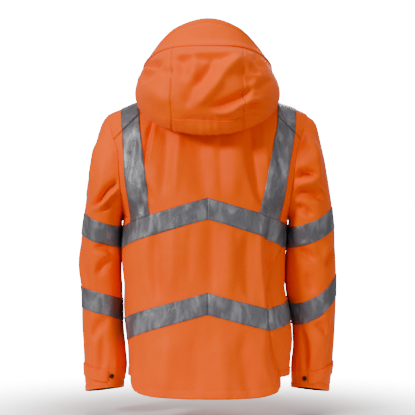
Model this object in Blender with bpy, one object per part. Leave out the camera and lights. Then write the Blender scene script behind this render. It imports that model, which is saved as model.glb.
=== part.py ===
"""Hooded hi-vis work jacket, filled out as worn and hanging from the wearer's shoulders.

Metres, +Z up. The wearer faces +Y, so the back faces -Y and the wearer's right is +X.
The origin is the middle of the neck opening, level with the top of the shoulders.

The torso is one closed form. Its section at each height is a rounded oval, and the ovals
shrink to a ridge along each shoulder. The panels are patches of that form, cut along the
side seams, the shoulder seams, the armholes and the neckline. Each sleeve is a tube that
starts from its armhole, and the collar and the hood start from the neckline. Every piece
is a wall of cloth, and a piece that lies on a panel is made from the panel's own points,
moved out.
"""

import math

import bpy
import numpy as np

# ---- cloth and fastenings -------------------------------------------------------------
CLOTH = 0.0018              # outer shell with its backing
COLLAR_CLOTH = 0.0030       # two layers
TAPE_CLOTH = 0.0008         # reflective tape, facings and the patch
TAPE_LIFT = 0.0004          # clear of the cloth it is sewn to
SEAM_HALF_GAP = 0.0002      # each side of a seam
ZIP_EDGE = 0.0042           # the fronts stop this far from the centre front
ZIP_CHAIN_HALF = 0.0031
ZIP_CHAIN_DEPTHS = (-0.0026, 0.0006)    # behind and in front of the fronts' surface
ZIP_TAPE_DEPTHS = (-0.0037, -0.0029)
ZIP_TAPE_WIDTH = 0.0085
BOX_HEIGHT = 0.010          # the zip's bottom box
BOX_HALF_WIDTH = 0.0038
SLIDER_Z = -0.002           # the pull's axis
SLIDER_PLATE = (0.0050, 0.0065, 0.0022, 0.0040)     # half width, half height, depth from and to
LUG = (0.0012, 0.0030, 0.0036, 0.0084)
PIN_DEPTH = 0.0068
PIN_RADIUS = 0.0007
PIN_HALF_LENGTH = 0.0034
PULL_HALF_WIDTH = 0.0042
PULL_HALF_DEPTH = 0.0015
PULL_TOP = 0.0016           # above and below the axis
PULL_BOTTOM = 0.0310
PULL_NOTCH = (0.0016, 0.0046)   # half width, and how far it reaches below the axis
PULL_HOLE_RADIUS = 0.0010
PULL_EYE = (0.0020, 0.0040, 0.0240)     # half width, half height and place of the finger hole
STUD_RADIUS = 0.0055
STUD_HEIGHT = 0.0030
STUD_LIFT = 0.0006

# ---- heights and widths ---------------------------------------------------------------
NECK_HALF_WIDTH = 0.078
NECK_BACK = 0.078           # the neck opening, seen from above, reaches this far back
NECK_FRONT = 0.091
NECK_CORNER = 115.0         # degrees round from the front to where the shoulder seam starts
UNDERARM_Z = -0.315
SHOULDER_TIP_Z = -0.068
ARMHOLE_MARGIN = 0.010      # a front's next column keeps this far inside the armhole
ARMHOLE_STEPS = 18          # equal steps round the armhole, from the shoulder tip
SHOULDER_SEAM_STEP = 3      # the shoulder seam meets the armhole this many steps behind the tip
FRONT_HEM_Z = -0.697
ARMHOLE_MIDDLE_Z = 0.5 * (SHOULDER_TIP_Z + UNDERARM_Z)
ARMHOLE_HALF_HEIGHT = 0.5 * (SHOULDER_TIP_Z - UNDERARM_Z)
YOKE_DROP = 0.048           # from the shoulder ridge to the last full row of a front
COLLAR_HEIGHT = 0.080
COLLAR_FOOT = 0.0008
COLLAR_LEAN = 0.007

# Torso sections from the neck down: height, half width at the wearer's left and right,
# depth of the back and of the front, and how square the oval is (2 is an ellipse).
TORSO_COLUMNS = ("z", "left", "right", "back", "front", "power")
TORSO = (
    (0.006, 0.064, 0.064, 0.064, 0.058, 2.00),
    (0.000, 0.078, 0.078, 0.070, 0.062, 2.00),
    (-0.0365, 0.176, 0.175, 0.088, 0.078, 2.00),
    (-0.0515, 0.211, 0.2145, 0.095, 0.084, 2.00),
    (-0.068, 0.246, 0.246, 0.101, 0.091, 2.00),
    (-0.120, 0.272, 0.272, 0.121, 0.110, 2.00),
    (-0.190, 0.270, 0.268, 0.137, 0.126, 2.00),
    (-0.250, 0.246, 0.240, 0.143, 0.134, 2.10),
    (-0.315, 0.205, 0.197, 0.145, 0.137, 2.25),
    (-0.370, 0.2095, 0.191, 0.144, 0.137, 2.35),
    (-0.430, 0.208, 0.187, 0.143, 0.136, 2.40),
    (-0.480, 0.203, 0.187, 0.143, 0.136, 2.40),
    (-0.530, 0.2045, 0.197, 0.145, 0.137, 2.40),
    (-0.610, 0.1975, 0.206, 0.149, 0.139, 2.40),
    (-0.670, 0.1935, 0.200, 0.153, 0.141, 2.40),
    (-0.750, 0.197, 0.199, 0.157, 0.143, 2.40),
)

# How far out each armhole cuts the torso form.
ARMHOLE_COLUMNS = ("z", "left", "right")
ARMHOLE = (
    (-0.068, 0.2450, 0.2450),
    (-0.128, 0.2255, 0.2235),
    (-0.160, 0.2150, 0.2145),
    (-0.210, 0.2115, 0.2075),
    (-0.250, 0.2085, 0.2025),
    (-0.290, 0.2062, 0.1982),
    (-0.315, 0.2050, 0.1970),
)

# Side seams, in degrees round from the centre back. The right one swings to the back.
SIDE_SEAM_COLUMNS = ("z", "left", "right")
SIDE_SEAM = (
    (-0.315, 90.0, 90.0),
    (-0.370, 88.0, 75.0),
    (-0.430, 85.0, 56.0),
    (-0.500, 84.0, 44.0),
    (-0.567, 82.0, 41.5),
    (-0.610, 79.0, 43.0),
    (-0.676, 74.0, 55.0),
    (-0.720, 71.0, 63.0),
    (-0.750, 70.0, 66.0),
)

# Outer and inner edges of the braces, across from the middle.
BRACE_COLUMNS = ("z", "left_outer", "left_inner", "right_outer", "right_inner")
BRACES = {
    "back": (
        (-0.050, 0.2100, 0.1650, 0.2150, 0.1700),
        (-0.085, 0.2055, 0.1620, 0.2127, 0.1670),
        (-0.200, 0.1985, 0.1485, 0.1940, 0.1450),
        (-0.270, 0.1900, 0.1410, 0.1830, 0.1315),
        (-0.315, 0.1840, 0.1365, 0.1720, 0.1190),
    ),
    "front": (
        (-0.050, 0.2100, 0.1650, 0.2150, 0.1700),
        (-0.120, 0.1980, 0.1500, 0.2000, 0.1500),
        (-0.200, 0.1850, 0.1350, 0.1830, 0.1350),
        (-0.315, 0.1650, 0.1180, 0.1600, 0.1150),
    ),
}

# Shoulder seam, from the neckline out to the armhole.
SHOULDER_SEAM_COLUMNS = ("x", "z")
SHOULDER_SEAM = ((0.0707, -0.0006), (0.120, -0.036), (0.163, -0.068), (0.206, -0.110), (0.2230, -0.128))

# The back's hem, which drops behind: share of the half width, height at left and right.
BACK_HEM_COLUMNS = ("share", "left", "right")
BACK_HEM = (
    (0.00, -0.7420, -0.7420),
    (0.30, -0.7405, -0.7420),
    (0.70, -0.7325, -0.7325),
    (0.92, -0.7190, -0.7195),
    (1.00, -0.6970, -0.6970),
)

# Reflective bands round the body: height at the centre back, and how steeply they fall
# along the cloth of the back and rise again on the front.
BANDS = {"upper": -0.2942, "lower": -0.5180}
BAND_FALL = 0.280
BAND_RISE = 0.160
BAND_HALF_HEIGHT = 0.0258

# Largest folds of the torso: where each starts and ends (across, up), its half width, and
# how far it stands out or, if negative, sinks in.
FOLD_COLUMNS = ("face", "x_top", "z_top", "x_low", "z_low", "half_width", "height")
TORSO_FOLDS = (
    ("back", -0.135, -0.080, -0.152, -0.200, 0.012, -0.006),
    ("back", -0.105, -0.120, -0.120, -0.700, 0.020, 0.007),
    ("back", -0.060, -0.120, -0.072, -0.680, 0.020, -0.005),
    ("back", -0.032, -0.120, -0.038, -0.620, 0.020, 0.005),
    ("back", 0.000, -0.120, 0.012, -0.560, 0.024, -0.006),
    ("back", 0.060, -0.120, 0.058, -0.650, 0.024, 0.006),
    ("back", 0.100, -0.090, 0.112, -0.720, 0.018, -0.006),
    ("back", 0.132, -0.360, 0.162, -0.745, 0.018, 0.005),
    ("back", 0.160, -0.360, 0.183, -0.700, 0.018, -0.008),
    ("front", -0.110, -0.160, -0.125, -0.700, 0.024, 0.006),
    ("front", -0.065, -0.160, -0.060, -0.700, 0.024, -0.005),
    ("front", 0.070, -0.160, 0.064, -0.700, 0.024, -0.005),
    ("front", 0.115, -0.160, 0.130, -0.700, 0.024, 0.006),
)

# Sleeve rings from the armhole to the cuff: height of the outer and the inner side, how far
# out each lies at the wearer's left and right, the middle and half depth front to back,
# and how much lower the front of the ring is than the back.
SLEEVE_COLUMNS = ("outer_z", "outer_left", "outer_right", "inner_z", "inner_left",
                  "inner_right", "y_mid", "half_depth", "front_drop")
SLEEVE = (
    (-0.0680, 0.2450, 0.2450, -0.3150, 0.2050, 0.1970, 0.000, 0.084, 0.000),
    (-0.0900, 0.2590, 0.2640, -0.3172, 0.2090, 0.2010, 0.001, 0.087, 0.000),
    (-0.1500, 0.2760, 0.2800, -0.3230, 0.2130, 0.2050, 0.003, 0.090, 0.000),
    (-0.2200, 0.2890, 0.2930, -0.3330, 0.2150, 0.2065, 0.006, 0.090, 0.000),
    (-0.2950, 0.2985, 0.3040, -0.3500, 0.2160, 0.2055, 0.010, 0.086, 0.000),
    (-0.3650, 0.3075, 0.3110, -0.3870, 0.2150, 0.1965, 0.018, 0.081, 0.002),
    (-0.4300, 0.3148, 0.3150, -0.4400, 0.2125, 0.1910, 0.025, 0.077, 0.004),
    (-0.4950, 0.3100, 0.3160, -0.5000, 0.2090, 0.1945, 0.029, 0.073, 0.006),
    (-0.5600, 0.3090, 0.3140, -0.5600, 0.2075, 0.2065, 0.030, 0.069, 0.009),
    (-0.6200, 0.3060, 0.3110, -0.6170, 0.2030, 0.2115, 0.030, 0.065, 0.012),
    (-0.6800, 0.3030, 0.3065, -0.6720, 0.1990, 0.2075, 0.030, 0.061, 0.015),
    (-0.7360, 0.3000, 0.2990, -0.7250, 0.2080, 0.2075, 0.030, 0.058, 0.018),
)
SLEEVE_POWER = 2.25
SLEEVE_BLEND = 2.2          # rings over which the armhole's own shape fades out

# Bands and the cuff tab on each sleeve: height at its outer, back and inner side.
SLEEVE_BAND_COLUMNS = ("outer", "back", "inner")
SLEEVE_BANDS = {
    "left": {"upper": (-0.3310, -0.3517, -0.3626), "lower": (-0.5096, -0.5233, -0.5415),
             "tab": (-0.6885, -0.7010, -0.6980)},
    "right": {"upper": (-0.3149, -0.3493, -0.3650), "lower": (-0.4802, -0.5365, -0.5513),
              "tab": (-0.6835, -0.7060, -0.7000)},
}
TAB_HALF_HEIGHT = 0.0150
TAB_ANGLES = (-80.0, 100.0)  # from the front round the outer side to the back
PATCH_ANGLES = (-40.0, 0.0)
PATCH_ROW = 4

# Largest sleeve creases: angle round the sleeve (0 outer, 90 back, 180 inner, 270 front)
# and height of both ends, half width, and how far it stands out.
CREASE_COLUMNS = ("side", "angle_a", "z_a", "angle_b", "z_b", "half_width", "height")
SLEEVE_CREASES = (
    ("left", 128.0, -0.225, 70.0, -0.300, 0.015, -0.008),
    ("left", 150.0, -0.400, 95.0, -0.385, 0.014, -0.006),
    ("left", 115.0, -0.130, 120.0, -0.190, 0.018, -0.008),
    ("right", 120.0, -0.125, 100.0, -0.190, 0.022, -0.010),
    ("right", 145.0, -0.240, 85.0, -0.222, 0.014, -0.009),
    ("right", 140.0, -0.280, 70.0, -0.290, 0.015, -0.007),
    ("right", 80.0, -0.440, 40.0, -0.400, 0.016, -0.006),
    ("left", 230.0, -0.260, 290.0, -0.310, 0.018, -0.008),
    ("right", 230.0, -0.250, 290.0, -0.300, 0.018, -0.008),
)

# Hood, laid back behind the neck. A row for each direction round the neck (0 straight back,
# 90 over the shoulder). Each pair is a distance from the neck's middle and a height, from
# the layer over the back, the bottom fold and the belly to the ledge, the peak's seam and
# the brim's edge. The hood starts just outside the collar's foot.
HOOD_COLUMNS = ("angle", "under", "fold", "belly", "side", "ledge", "peak", "brim")
HOOD = (
    (0, (0.128, -0.048), (0.172, -0.121), (0.222, -0.075), (0.231, -0.005), (0.204, 0.066),
     (0.170, 0.090), (0.142, 0.154)),
    (30, (0.132, -0.040), (0.180, -0.106), (0.222, -0.066), (0.228, -0.004), (0.204, 0.060),
     (0.172, 0.086), (0.146, 0.134)),
    (60, (0.134, -0.008), (0.177, -0.062), (0.196, -0.036), (0.194, 0.002), (0.178, 0.036),
     (0.164, 0.062), (0.152, 0.080)),
    (90, (0.112, 0.004), (0.146, -0.009), (0.160, -0.003), (0.161, 0.006), (0.157, 0.018),
     (0.152, 0.032), (0.147, 0.044)),
    (120, (0.112, -0.006), (0.128, -0.014), (0.138, -0.010), (0.142, -0.004), (0.142, 0.003),
     (0.140, 0.011), (0.137, 0.019)),
    (150, (0.108, -0.047), (0.116, -0.049), (0.122, -0.044), (0.125, -0.038), (0.125, -0.031),
     (0.123, -0.024), (0.120, -0.017)),
)
HOOD_END = 150.0
HOOD_FOOT = (0.0052, 0.0060)    # out from and above the neckline
HOOD_SEAM_X = 0.084             # the centre panel's half width
HOOD_SEAM_SINE = 0.46           # and its narrowing towards the neck
PEAK_END = 84.0
PEAK_GAP = 1.0              # degrees
PEAK_NOTCH = 8.0                # degrees over which the side rises beside the peak
PEAK_ROW = 6.0                  # places on a profile: 0 is the foot, 7 the brim's edge
BRIM_ROW = 7.0
ADJUSTER_ROWS = (2.15, 2.75)
ADJUSTER_SHARE = 0.94
HOOD_FOLD_COLUMNS = ("x_a", "z_a", "x_b", "z_b", "half_width", "height")
HOOD_FOLDS = (
    (0.075, 0.052, 0.030, 0.010, 0.014, 0.009),
    (0.030, 0.010, -0.026, -0.046, 0.014, 0.009),
    (0.010, 0.055, -0.034, 0.000, 0.013, -0.008),
    (0.100, -0.006, 0.010, -0.046, 0.012, -0.008),
    (0.126, -0.026, 0.020, -0.058, 0.013, 0.007),
    (0.128, -0.046, 0.066, -0.056, 0.010, -0.009),
    (-0.052, 0.060, -0.056, -0.060, 0.016, -0.005),
    (-0.134, 0.046, -0.152, 0.012, 0.012, -0.006),
)

LEFT, RIGHT = -1, 1
SIDE_NAMES = {LEFT: "left", RIGHT: "right"}

# Columns of the panels run through the edges of the braces, and rows through the edges of
# the bands, so that each tape is a block of its panel's own points. A share runs from 0 at
# the centre back to 1 at the side, and on a front from 0 at the side to 1 at the zip.
BACK_SHARES = (0.0, 0.073, 0.147, 0.22, 0.32, 0.42, 0.54, 0.66, 0.83, 1.0)
BACK_KEYS = (0.0, 0.22, 0.42, 0.66, 1.0)
BACK_BRACE = (5, 7)         # the columns of its edges
FRONT_SHARES = (0.0, 0.17, 0.34, 0.46, 0.58, 0.64, 0.70, 0.76, 0.82, 0.88, 0.94, 1.0)
FRONT_KEYS = (0.0, 0.34, 0.58, 0.70, 1.0)
FRONT_BRACE = (2, 4)
FRONT_NECK_SHARE = 0.70
NECK_ANGLES = {0.76: 88.0, 0.82: 64.0, 0.88: 42.0, 0.94: 21.0, 1.0: 3.1}
FRONT_RIDGE_X = 0.100       # where the neck corner's column crosses the shoulder ridge
LOW_ROWS, BAND_ROWS, MIDDLE_ROWS = 2, 1, 4
RIDGE_ROWS = SHOULDER_SEAM_STEP
RISE_ROWS = ARMHOLE_STEPS // 2 - RIDGE_ROWS
TOP_ROWS = ARMHOLE_STEPS // 2 - SHOULDER_SEAM_STEP
LOWER_BAND_ROW = LOW_ROWS
UPPER_BAND_ROW = LOW_ROWS + BAND_ROWS + MIDDLE_ROWS
BAND_TOP_ROW = UPPER_BAND_ROW + BAND_ROWS
UNDERARM_ROW = BAND_TOP_ROW + 1


# ---- small tools ----------------------------------------------------------------------
def column(columns, rows, name):
    """One named column of a table."""
    return [row[columns.index(name)] for row in rows]


def smooth(xs, ys):
    """A curve through the points that never overshoots them (monotone cubic)."""
    order = np.argsort(xs)
    xs, ys = np.asarray(xs, float)[order], np.asarray(ys, float)[order]
    step = np.diff(xs)
    slope = np.diff(ys) / step
    tangent = np.concatenate([slope[:1], np.zeros(len(xs) - 2), slope[-1:]])
    for i in range(1, len(xs) - 1):
        a, b = slope[i - 1], slope[i]
        tangent[i] = 0.0 if a * b <= 0 else 2 * a * b / (a + b)

    def value(x):
        x = np.clip(np.asarray(x, float), xs[0], xs[-1])
        i = np.clip(np.searchsorted(xs, x) - 1, 0, len(step) - 1)
        t = (x - xs[i]) / step[i]
        bend = (2 * t - 3) * t * t + 1
        return (
            bend * ys[i]
            + (1 - bend) * ys[i + 1]
            + t * (1 - t) ** 2 * step[i] * tangent[i]
            - t * t * (1 - t) * step[i] * tangent[i + 1]
        )

    return value


def curves(columns, rows, against):
    """A smooth curve of every other column against the named one."""
    xs = column(columns, rows, against)
    return {name: smooth(xs, column(columns, rows, name)) for name in columns if name != against}


def flowing(rows, at):
    """Rows of numbers read at fractional row numbers as smooth columns (Catmull-Rom)."""
    rows = np.asarray(rows, float)
    at = np.clip(np.asarray(at, float), 0, len(rows) - 1)
    i = np.clip(np.floor(at).astype(int), 0, len(rows) - 2)
    t = (at - i)[..., None]
    p1, p2 = rows[i], rows[i + 1]
    p0 = np.where((i > 0)[..., None], rows[np.maximum(i - 1, 0)], 2 * p1 - p2)
    last = (i + 2 < len(rows))[..., None]
    p3 = np.where(last, rows[np.minimum(i + 2, len(rows) - 1)], 2 * p2 - p1)
    return p1 + 0.5 * t * (
        p2 - p0 + t * (2 * p0 - 5 * p1 + 4 * p2 - p3 + t * (3 * (p1 - p2) + p3 - p0))
    )


def unit(vectors):
    return vectors / np.maximum(np.linalg.norm(vectors, axis=-1, keepdims=True), 1e-12)


def eased(t):
    t = np.clip(t, 0.0, 1.0)
    return t * t * (3 - 2 * t)


def squared_off(wave, power):
    """A sine or cosine bent to the power of an oval, keeping its sign."""
    return np.sign(wave) * np.abs(wave) ** (2.0 / power)


def solve(gap, low, high):
    """Where a rising function crosses zero."""
    for _ in range(50):
        middle = 0.5 * (low + high)
        if gap(middle) < 0:
            low = middle
        else:
            high = middle
    return 0.5 * (low + high)


def steps(start, stop, rows):
    """Evenly spaced values after start, up to and with stop."""
    return [start + (stop - start) * (i + 1) / rows for i in range(rows)]


def ridge_between(place, a, b, half_width):
    """How strongly a fold between two places acts here: 1 on its line, fading to 0."""
    along = b - a
    length = np.linalg.norm(along)
    offset = place - a
    t = (offset @ along) / length**2
    across = np.linalg.norm(offset - np.clip(t, 0, 1)[..., None] * along, axis=-1)
    return np.exp(-((across / half_width) ** 2))


# ---- torso form -----------------------------------------------------------------------
torso = curves(TORSO_COLUMNS, TORSO, "z")
armhole = curves(ARMHOLE_COLUMNS, ARMHOLE, "z")
side_seam = curves(SIDE_SEAM_COLUMNS, SIDE_SEAM, "z")
braces = {face: curves(BRACE_COLUMNS, rows, "z") for face, rows in BRACES.items()}
shoulder_seam = curves(SHOULDER_SEAM_COLUMNS, SHOULDER_SEAM, "x")["z"]


def half_width(x, z):
    return np.where(np.asarray(x) < 0, torso["left"](z), torso["right"](z))


def torso_y(x, z, front):
    """Where the torso form lies at this place across and up, on its front or its back."""
    power = torso["power"](z)
    share = np.clip(np.abs(x) / half_width(x, z), 0.0, 1.0)
    reach = (1 - share**power) ** (1 / power)
    return np.where(front, torso["front"](z) * reach, -torso["back"](z) * reach)


def torso_field(x, y, z):
    """1 on the torso form, less inside it."""
    power = torso["power"](z)
    depth = np.where(np.asarray(y) < 0, torso["back"](z), torso["front"](z))
    return (np.abs(x) / half_width(x, z)) ** power + (np.abs(y) / depth) ** power


def torso_normal(points):
    x, y, z = points[..., 0], points[..., 1], points[..., 2]
    d = 2e-4
    return unit(np.stack([
        torso_field(x + d, y, z) - torso_field(x - d, y, z),
        torso_field(x, y + d, z) - torso_field(x, y - d, z),
        torso_field(x, y, z + d) - torso_field(x, y, z - d),
    ], axis=-1))


def torso_folds(points):
    """How far the folds move the torso's cloth out at these points."""
    x, y, z = points[..., 0], points[..., 1], points[..., 2]
    out = np.zeros(x.shape)
    for face, x_top, z_top, x_low, z_low, half, height in TORSO_FOLDS:
        along = (z_top - z) / (z_top - z_low)
        across = (x - (x_top + (x_low - x_top) * along)) / half
        ends = eased(along / 0.18) * eased((1.06 - along) / 0.14)
        here = np.where((y > 0) == (face == "front"), 1.0, 0.0)
        out = out + here * height * ends * np.exp(-across * across)
    return out


def angle_of(x, z, side):
    """Degrees round from the centre back at this distance across."""
    share = np.clip(np.abs(x) / torso[SIDE_NAMES[side]](z), 0.0, 1.0)
    return np.degrees(np.arcsin(share ** (torso["power"](z) / 2)))


def across_at(angle, z, side):
    wave = np.sin(np.radians(angle))
    return side * torso[SIDE_NAMES[side]](z) * squared_off(wave, torso["power"](z))


def cloth_lengths(z, side):
    """Cloth length from the centre back round to each angle, at one height."""
    angles = np.linspace(0, 180, 361)
    x = across_at(angles, z, side)
    y = torso_y(x, z, angles > 90)
    pieces = np.hypot(np.diff(x), np.diff(y))
    return angles, np.concatenate([[0], np.cumsum(pieces)])


lengths = {(band, side): cloth_lengths(z, side) for band, z in BANDS.items() for side in (LEFT, RIGHT)}


def neckline(angle, side):
    """The neckline at an angle round from the centre front: an oval hole from above."""
    turn = math.radians(angle)
    x = side * NECK_HALF_WIDTH * math.sin(turn)
    y = math.cos(turn) * (NECK_FRONT if angle < 90 else NECK_BACK)
    z = solve(lambda level: torso_field(x, y, level) - 1, -0.10, 0.0055)
    return np.array([x, y, z])


def armhole_height(step):
    """Height of a place on the armhole, in equal steps round it from the shoulder tip."""
    return ARMHOLE_MIDDLE_Z + ARMHOLE_HALF_HEIGHT * np.cos(2 * math.pi * step / ARMHOLE_STEPS)


def armhole_normal(points):
    """Out from the middle of the armhole, in its own plane."""
    out = points * 0.0
    out[..., 1] = points[..., 1] * 1.5
    out[..., 2] = points[..., 2] - ARMHOLE_MIDDLE_Z
    return unit(out)


def neck_normal(points):
    """Level, and out from the middle of the neck."""
    out = points.copy()
    out[..., 2] = 0.0
    return unit(out)


# ---- panels ---------------------------------------------------------------------------
def panel_x(face, share, z, side):
    """(across, whether on the front) for a column of a panel at a height below the yoke."""
    name = SIDE_NAMES[side]
    edges = braces[face]
    level = float(np.clip(z, UNDERARM_Z, -0.05))
    outer, inner = float(edges[name + "_outer"](level)), float(edges[name + "_inner"](level))
    neck = 0.0707 if face == "back" else FRONT_RIDGE_X
    if z >= UNDERARM_Z:
        arm = float(armhole[name](z))
        if face == "back":
            return side * float(np.interp(share, BACK_KEYS, (0, neck, inner, outer, arm))), False
        return side * float(np.interp(share, FRONT_KEYS, (arm, outer, inner, neck, ZIP_EDGE))), True
    seam = float(side_seam[name](z))
    outer, inner, neck = (float(angle_of(x, level, side)) for x in (outer, inner, neck))
    if face == "back":
        inner = min(inner, 0.74 * seam)
        outer = min(outer, 0.5 * (inner + seam))
        keys, values = BACK_KEYS, (0, min(neck, 0.6 * inner), inner, outer, seam)
    else:
        zip_edge = 180 - float(angle_of(ZIP_EDGE, z, side))
        keys, values = FRONT_KEYS, (seam, 180 - outer, 180 - inner, 180 - neck, zip_edge)
    angle = float(np.interp(share, keys, values))
    return float(across_at(angle, z, side)), angle > 90


def cloth_length(face, band, share, side, z):
    """Cloth length from the centre back to a column, near one band."""
    x, front = panel_x(face, share, z, side)
    angle = float(angle_of(x, z, side))
    return float(np.interp(180 - angle if front else angle, *lengths[band, side]))


def band_height(face, band, share, side):
    """Height of a band's middle at a column of a panel."""
    seam_z = BANDS[band]
    for _ in range(12):
        seam_z = BANDS[band] - BAND_FALL * cloth_length("back", band, 1.0, side, seam_z)
    seam_length = cloth_length("back", band, 1.0, side, seam_z)
    z = seam_z
    for _ in range(12):
        if face == "back":
            z = BANDS[band] - BAND_FALL * cloth_length(face, band, share, side, z)
        else:
            z = seam_z + BAND_RISE * (cloth_length(face, band, share, side, z) - seam_length)
    return z


def lower_heights(face, share, side):
    """Heights of a column's rows, from the hem to the upper band's top edge."""
    hem = FRONT_HEM_Z
    if face == "back":
        shares = column(BACK_HEM_COLUMNS, BACK_HEM, "share")
        hem = float(np.interp(share, shares, column(BACK_HEM_COLUMNS, BACK_HEM, SIDE_NAMES[side])))
    guides = [hem]
    for band in ("lower", "upper"):
        middle = band_height(face, band, share, side)
        guides += [middle - BAND_HALF_HEIGHT, middle + BAND_HALF_HEIGHT]
    heights = [hem]
    for rows, low, high in zip((LOW_ROWS, BAND_ROWS, MIDDLE_ROWS, BAND_ROWS), guides, guides[1:]):
        heights += steps(low, high, rows)
    return heights


def rise_steps(side, rows):
    """Shares of the climb from the upper band's edge, with a row for each armhole step."""
    start = float(band_height("back", "upper", 1.0, side)) + BAND_HALF_HEIGHT
    heights = [float(armhole_height(ARMHOLE_STEPS // 2 - k)) for k in range(rows + 1)]
    return [(z - start) / (heights[-1] - start) for z in heights]


def back_top(share, side):
    """The top of a column of the back: on the neckline, or on the shoulder seam."""
    if share <= BACK_KEYS[1]:
        return neckline(180 - (180 - NECK_CORNER) * share / BACK_KEYS[1], side)
    if share == 1.0:
        z = float(armhole_height(SHOULDER_SEAM_STEP))
    else:
        z = solve(lambda h: h - float(shoulder_seam(abs(panel_x("back", share, h, side)[0]))), -0.2, 0.0)
    x = panel_x("back", share, z, side)[0]
    return np.array([x, float(torso_y(x, z, False)), z])


def back_column(share, side):
    heights = lower_heights("back", share, side)
    points = []
    for z in heights:
        x = panel_x("back", share, z, side)[0]
        points.append((x, float(torso_y(x, z, False)), z))
    top = back_top(share, side)
    for rise in rise_steps(side, TOP_ROWS):
        z = heights[-1] + (top[2] - heights[-1]) * rise
        x = panel_x("back", share, z, side)[0]
        if share < BACK_KEYS[2]:
            x += (top[0] - x) * rise**3
        points.append((x, float(torso_y(x, z, False)), z))
    points[-1] = tuple(top)
    return points


def back_grid():
    """Middle surface of the back, columns from the left seam to the right one."""
    columns = [(s, LEFT) for s in BACK_SHARES[:0:-1]] + [(s, RIGHT) for s in BACK_SHARES]
    return np.array([back_column(share, side) for share, side in columns])


def shoulder_ridge(share, side):
    """Where a front's column crosses the shoulder's ridge."""
    name = SIDE_NAMES[side]
    if share == 0:
        return side * float(armhole[name](SHOULDER_TIP_Z)), SHOULDER_TIP_Z
    x = float(np.interp(share, FRONT_KEYS[:4], (
        armhole[name](SHOULDER_TIP_Z), braces["front"][name + "_outer"](-0.05),
        braces["front"][name + "_inner"](-0.05), FRONT_RIDGE_X)))
    return side * x, solve(lambda z: x - float(torso[name](z)), -0.10, 0.0)


def front_column(share, side, seam_point):
    """A column of a front, from the hem up, and over the shoulder where it reaches it."""
    name = SIDE_NAMES[side]
    heights = lower_heights("front", share, side)
    over = share <= FRONT_NECK_SHARE
    if over:
        top_x, top_z = shoulder_ridge(share, side)
    else:
        top_x, _, top_z = neckline(NECK_ANGLES[share], side)
    drop = YOKE_DROP if over else YOKE_DROP * (0.75 + 0.25 * (1 - share))
    points = []
    for z in heights:
        x, front = panel_x("front", share, z, side)
        points.append((x, float(torso_y(x, z, front)), z))
    if share == 0:
        drop = top_z - float(armhole_height(RIDGE_ROWS))
    for rise in rise_steps(side, RISE_ROWS):
        z = heights[-1] + (top_z - drop - heights[-1]) * rise
        x = panel_x("front", share, z, side)[0]
        if share > 0:
            x += (top_x - x) * rise**3
            x = side * min(abs(x), float(armhole[name](z)) - ARMHOLE_MARGIN)
        points.append((x, float(torso_y(x, z, True)), z))
    rows = RIDGE_ROWS if over else 2 * RIDGE_ROWS
    bend = 2.0 if over else 1 + math.sin(math.radians(NECK_ANGLES[share]))
    for left_over in steps(1.0, 0.0, rows):
        z = top_z - drop * left_over**bend
        if share == 0:
            z = float(armhole_height(RIDGE_ROWS * left_over))
        x = side * float(armhole[name](z)) if share == 0 else top_x
        points.append((x, float(torso_y(x, z, True)) if left_over or not over else 0.0, z))
    if not over:
        return points
    for k in steps(0.0, 1.0, RIDGE_ROWS)[:-1]:
        z = top_z - (top_z - seam_point[2]) * k * k
        x = top_x + (seam_point[0] - top_x) * k * k
        if share == 0:
            z = float(armhole_height(SHOULDER_SEAM_STEP * k))
            x = side * float(armhole[name](z))
        points.append((x, float(torso_y(x, z, False)), z))
    return points + [tuple(seam_point)]


def front_grid(side, back):
    """Middle surface of a front, columns from the side seam and armhole to the zip."""
    half = back[: len(BACK_SHARES)][::-1] if side == LEFT else back[len(BACK_SHARES) - 1:]
    tops = {share: half[i, -1] for i, share in enumerate(BACK_SHARES)}
    matching = dict(zip(FRONT_SHARES, (1.0, 0.83, 0.66, 0.54, 0.42, 0.32, 0.22)))
    return np.array([front_column(s, side, tops.get(matching.get(s))) for s in FRONT_SHARES])


def panel_normals(points, armhole_columns, neck_columns):
    """Out from the torso, but within the seam's own plane along armholes and neckline."""
    normals = torso_normal(points)
    for i in armhole_columns:
        normals[i, UNDERARM_ROW:] = armhole_normal(points[i, UNDERARM_ROW:])
    for i in neck_columns:
        normals[i, -1] = neck_normal(points[i, -1])
    return normals


# ---- walls ----------------------------------------------------------------------------
def inset(points, gaps):
    """The grid with its borders drawn in: (first column, last column, first row, last row)."""
    points = points.copy()
    for axis, first, inner, gap in ((0, 0, 1, gaps[0]), (0, -1, -2, gaps[1]),
                                    (1, 0, 1, gaps[2]), (1, -1, -2, gaps[3])):
        if gap:
            edge = [slice(None)] * 2
            edge[axis] = first
            inside = [slice(None)] * 2
            inside[axis] = inner
            inward = unit(points[tuple(inside)] - points[tuple(edge)])
            points[tuple(edge)] = points[tuple(edge)] + gap * inward
    return points


def wall(name, inner, outer, material, tube=False):
    """A closed wall of cloth between two grids of points."""
    columns, rows = inner.shape[:2]
    points = np.concatenate([outer.reshape(-1, 3), inner.reshape(-1, 3)])
    far = columns * rows

    def at(i, j):
        return (i % columns) * rows + j

    faces = []
    for i in range(columns if tube else columns - 1):
        for j in range(rows - 1):
            a, b, c, d = at(i, j), at(i + 1, j), at(i + 1, j + 1), at(i, j + 1)
            faces += [(a, b, c), (a, c, d), (far + c, far + b, far + a), (far + d, far + c, far + a)]
        for j, turned in ((0, False), (rows - 1, True)):
            a, b = (at(i + 1, j), at(i, j)) if turned else (at(i, j), at(i + 1, j))
            faces += [(a, far + a, far + b), (a, far + b, b)]
    if not tube:
        for i, turned in ((0, True), (columns - 1, False)):
            for j in range(rows - 1):
                a, b = (at(i, j + 1), at(i, j)) if turned else (at(i, j), at(i, j + 1))
                faces += [(a, far + a, far + b), (a, far + b, b)]
    return add_mesh(name, points, faces, material)


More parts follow.
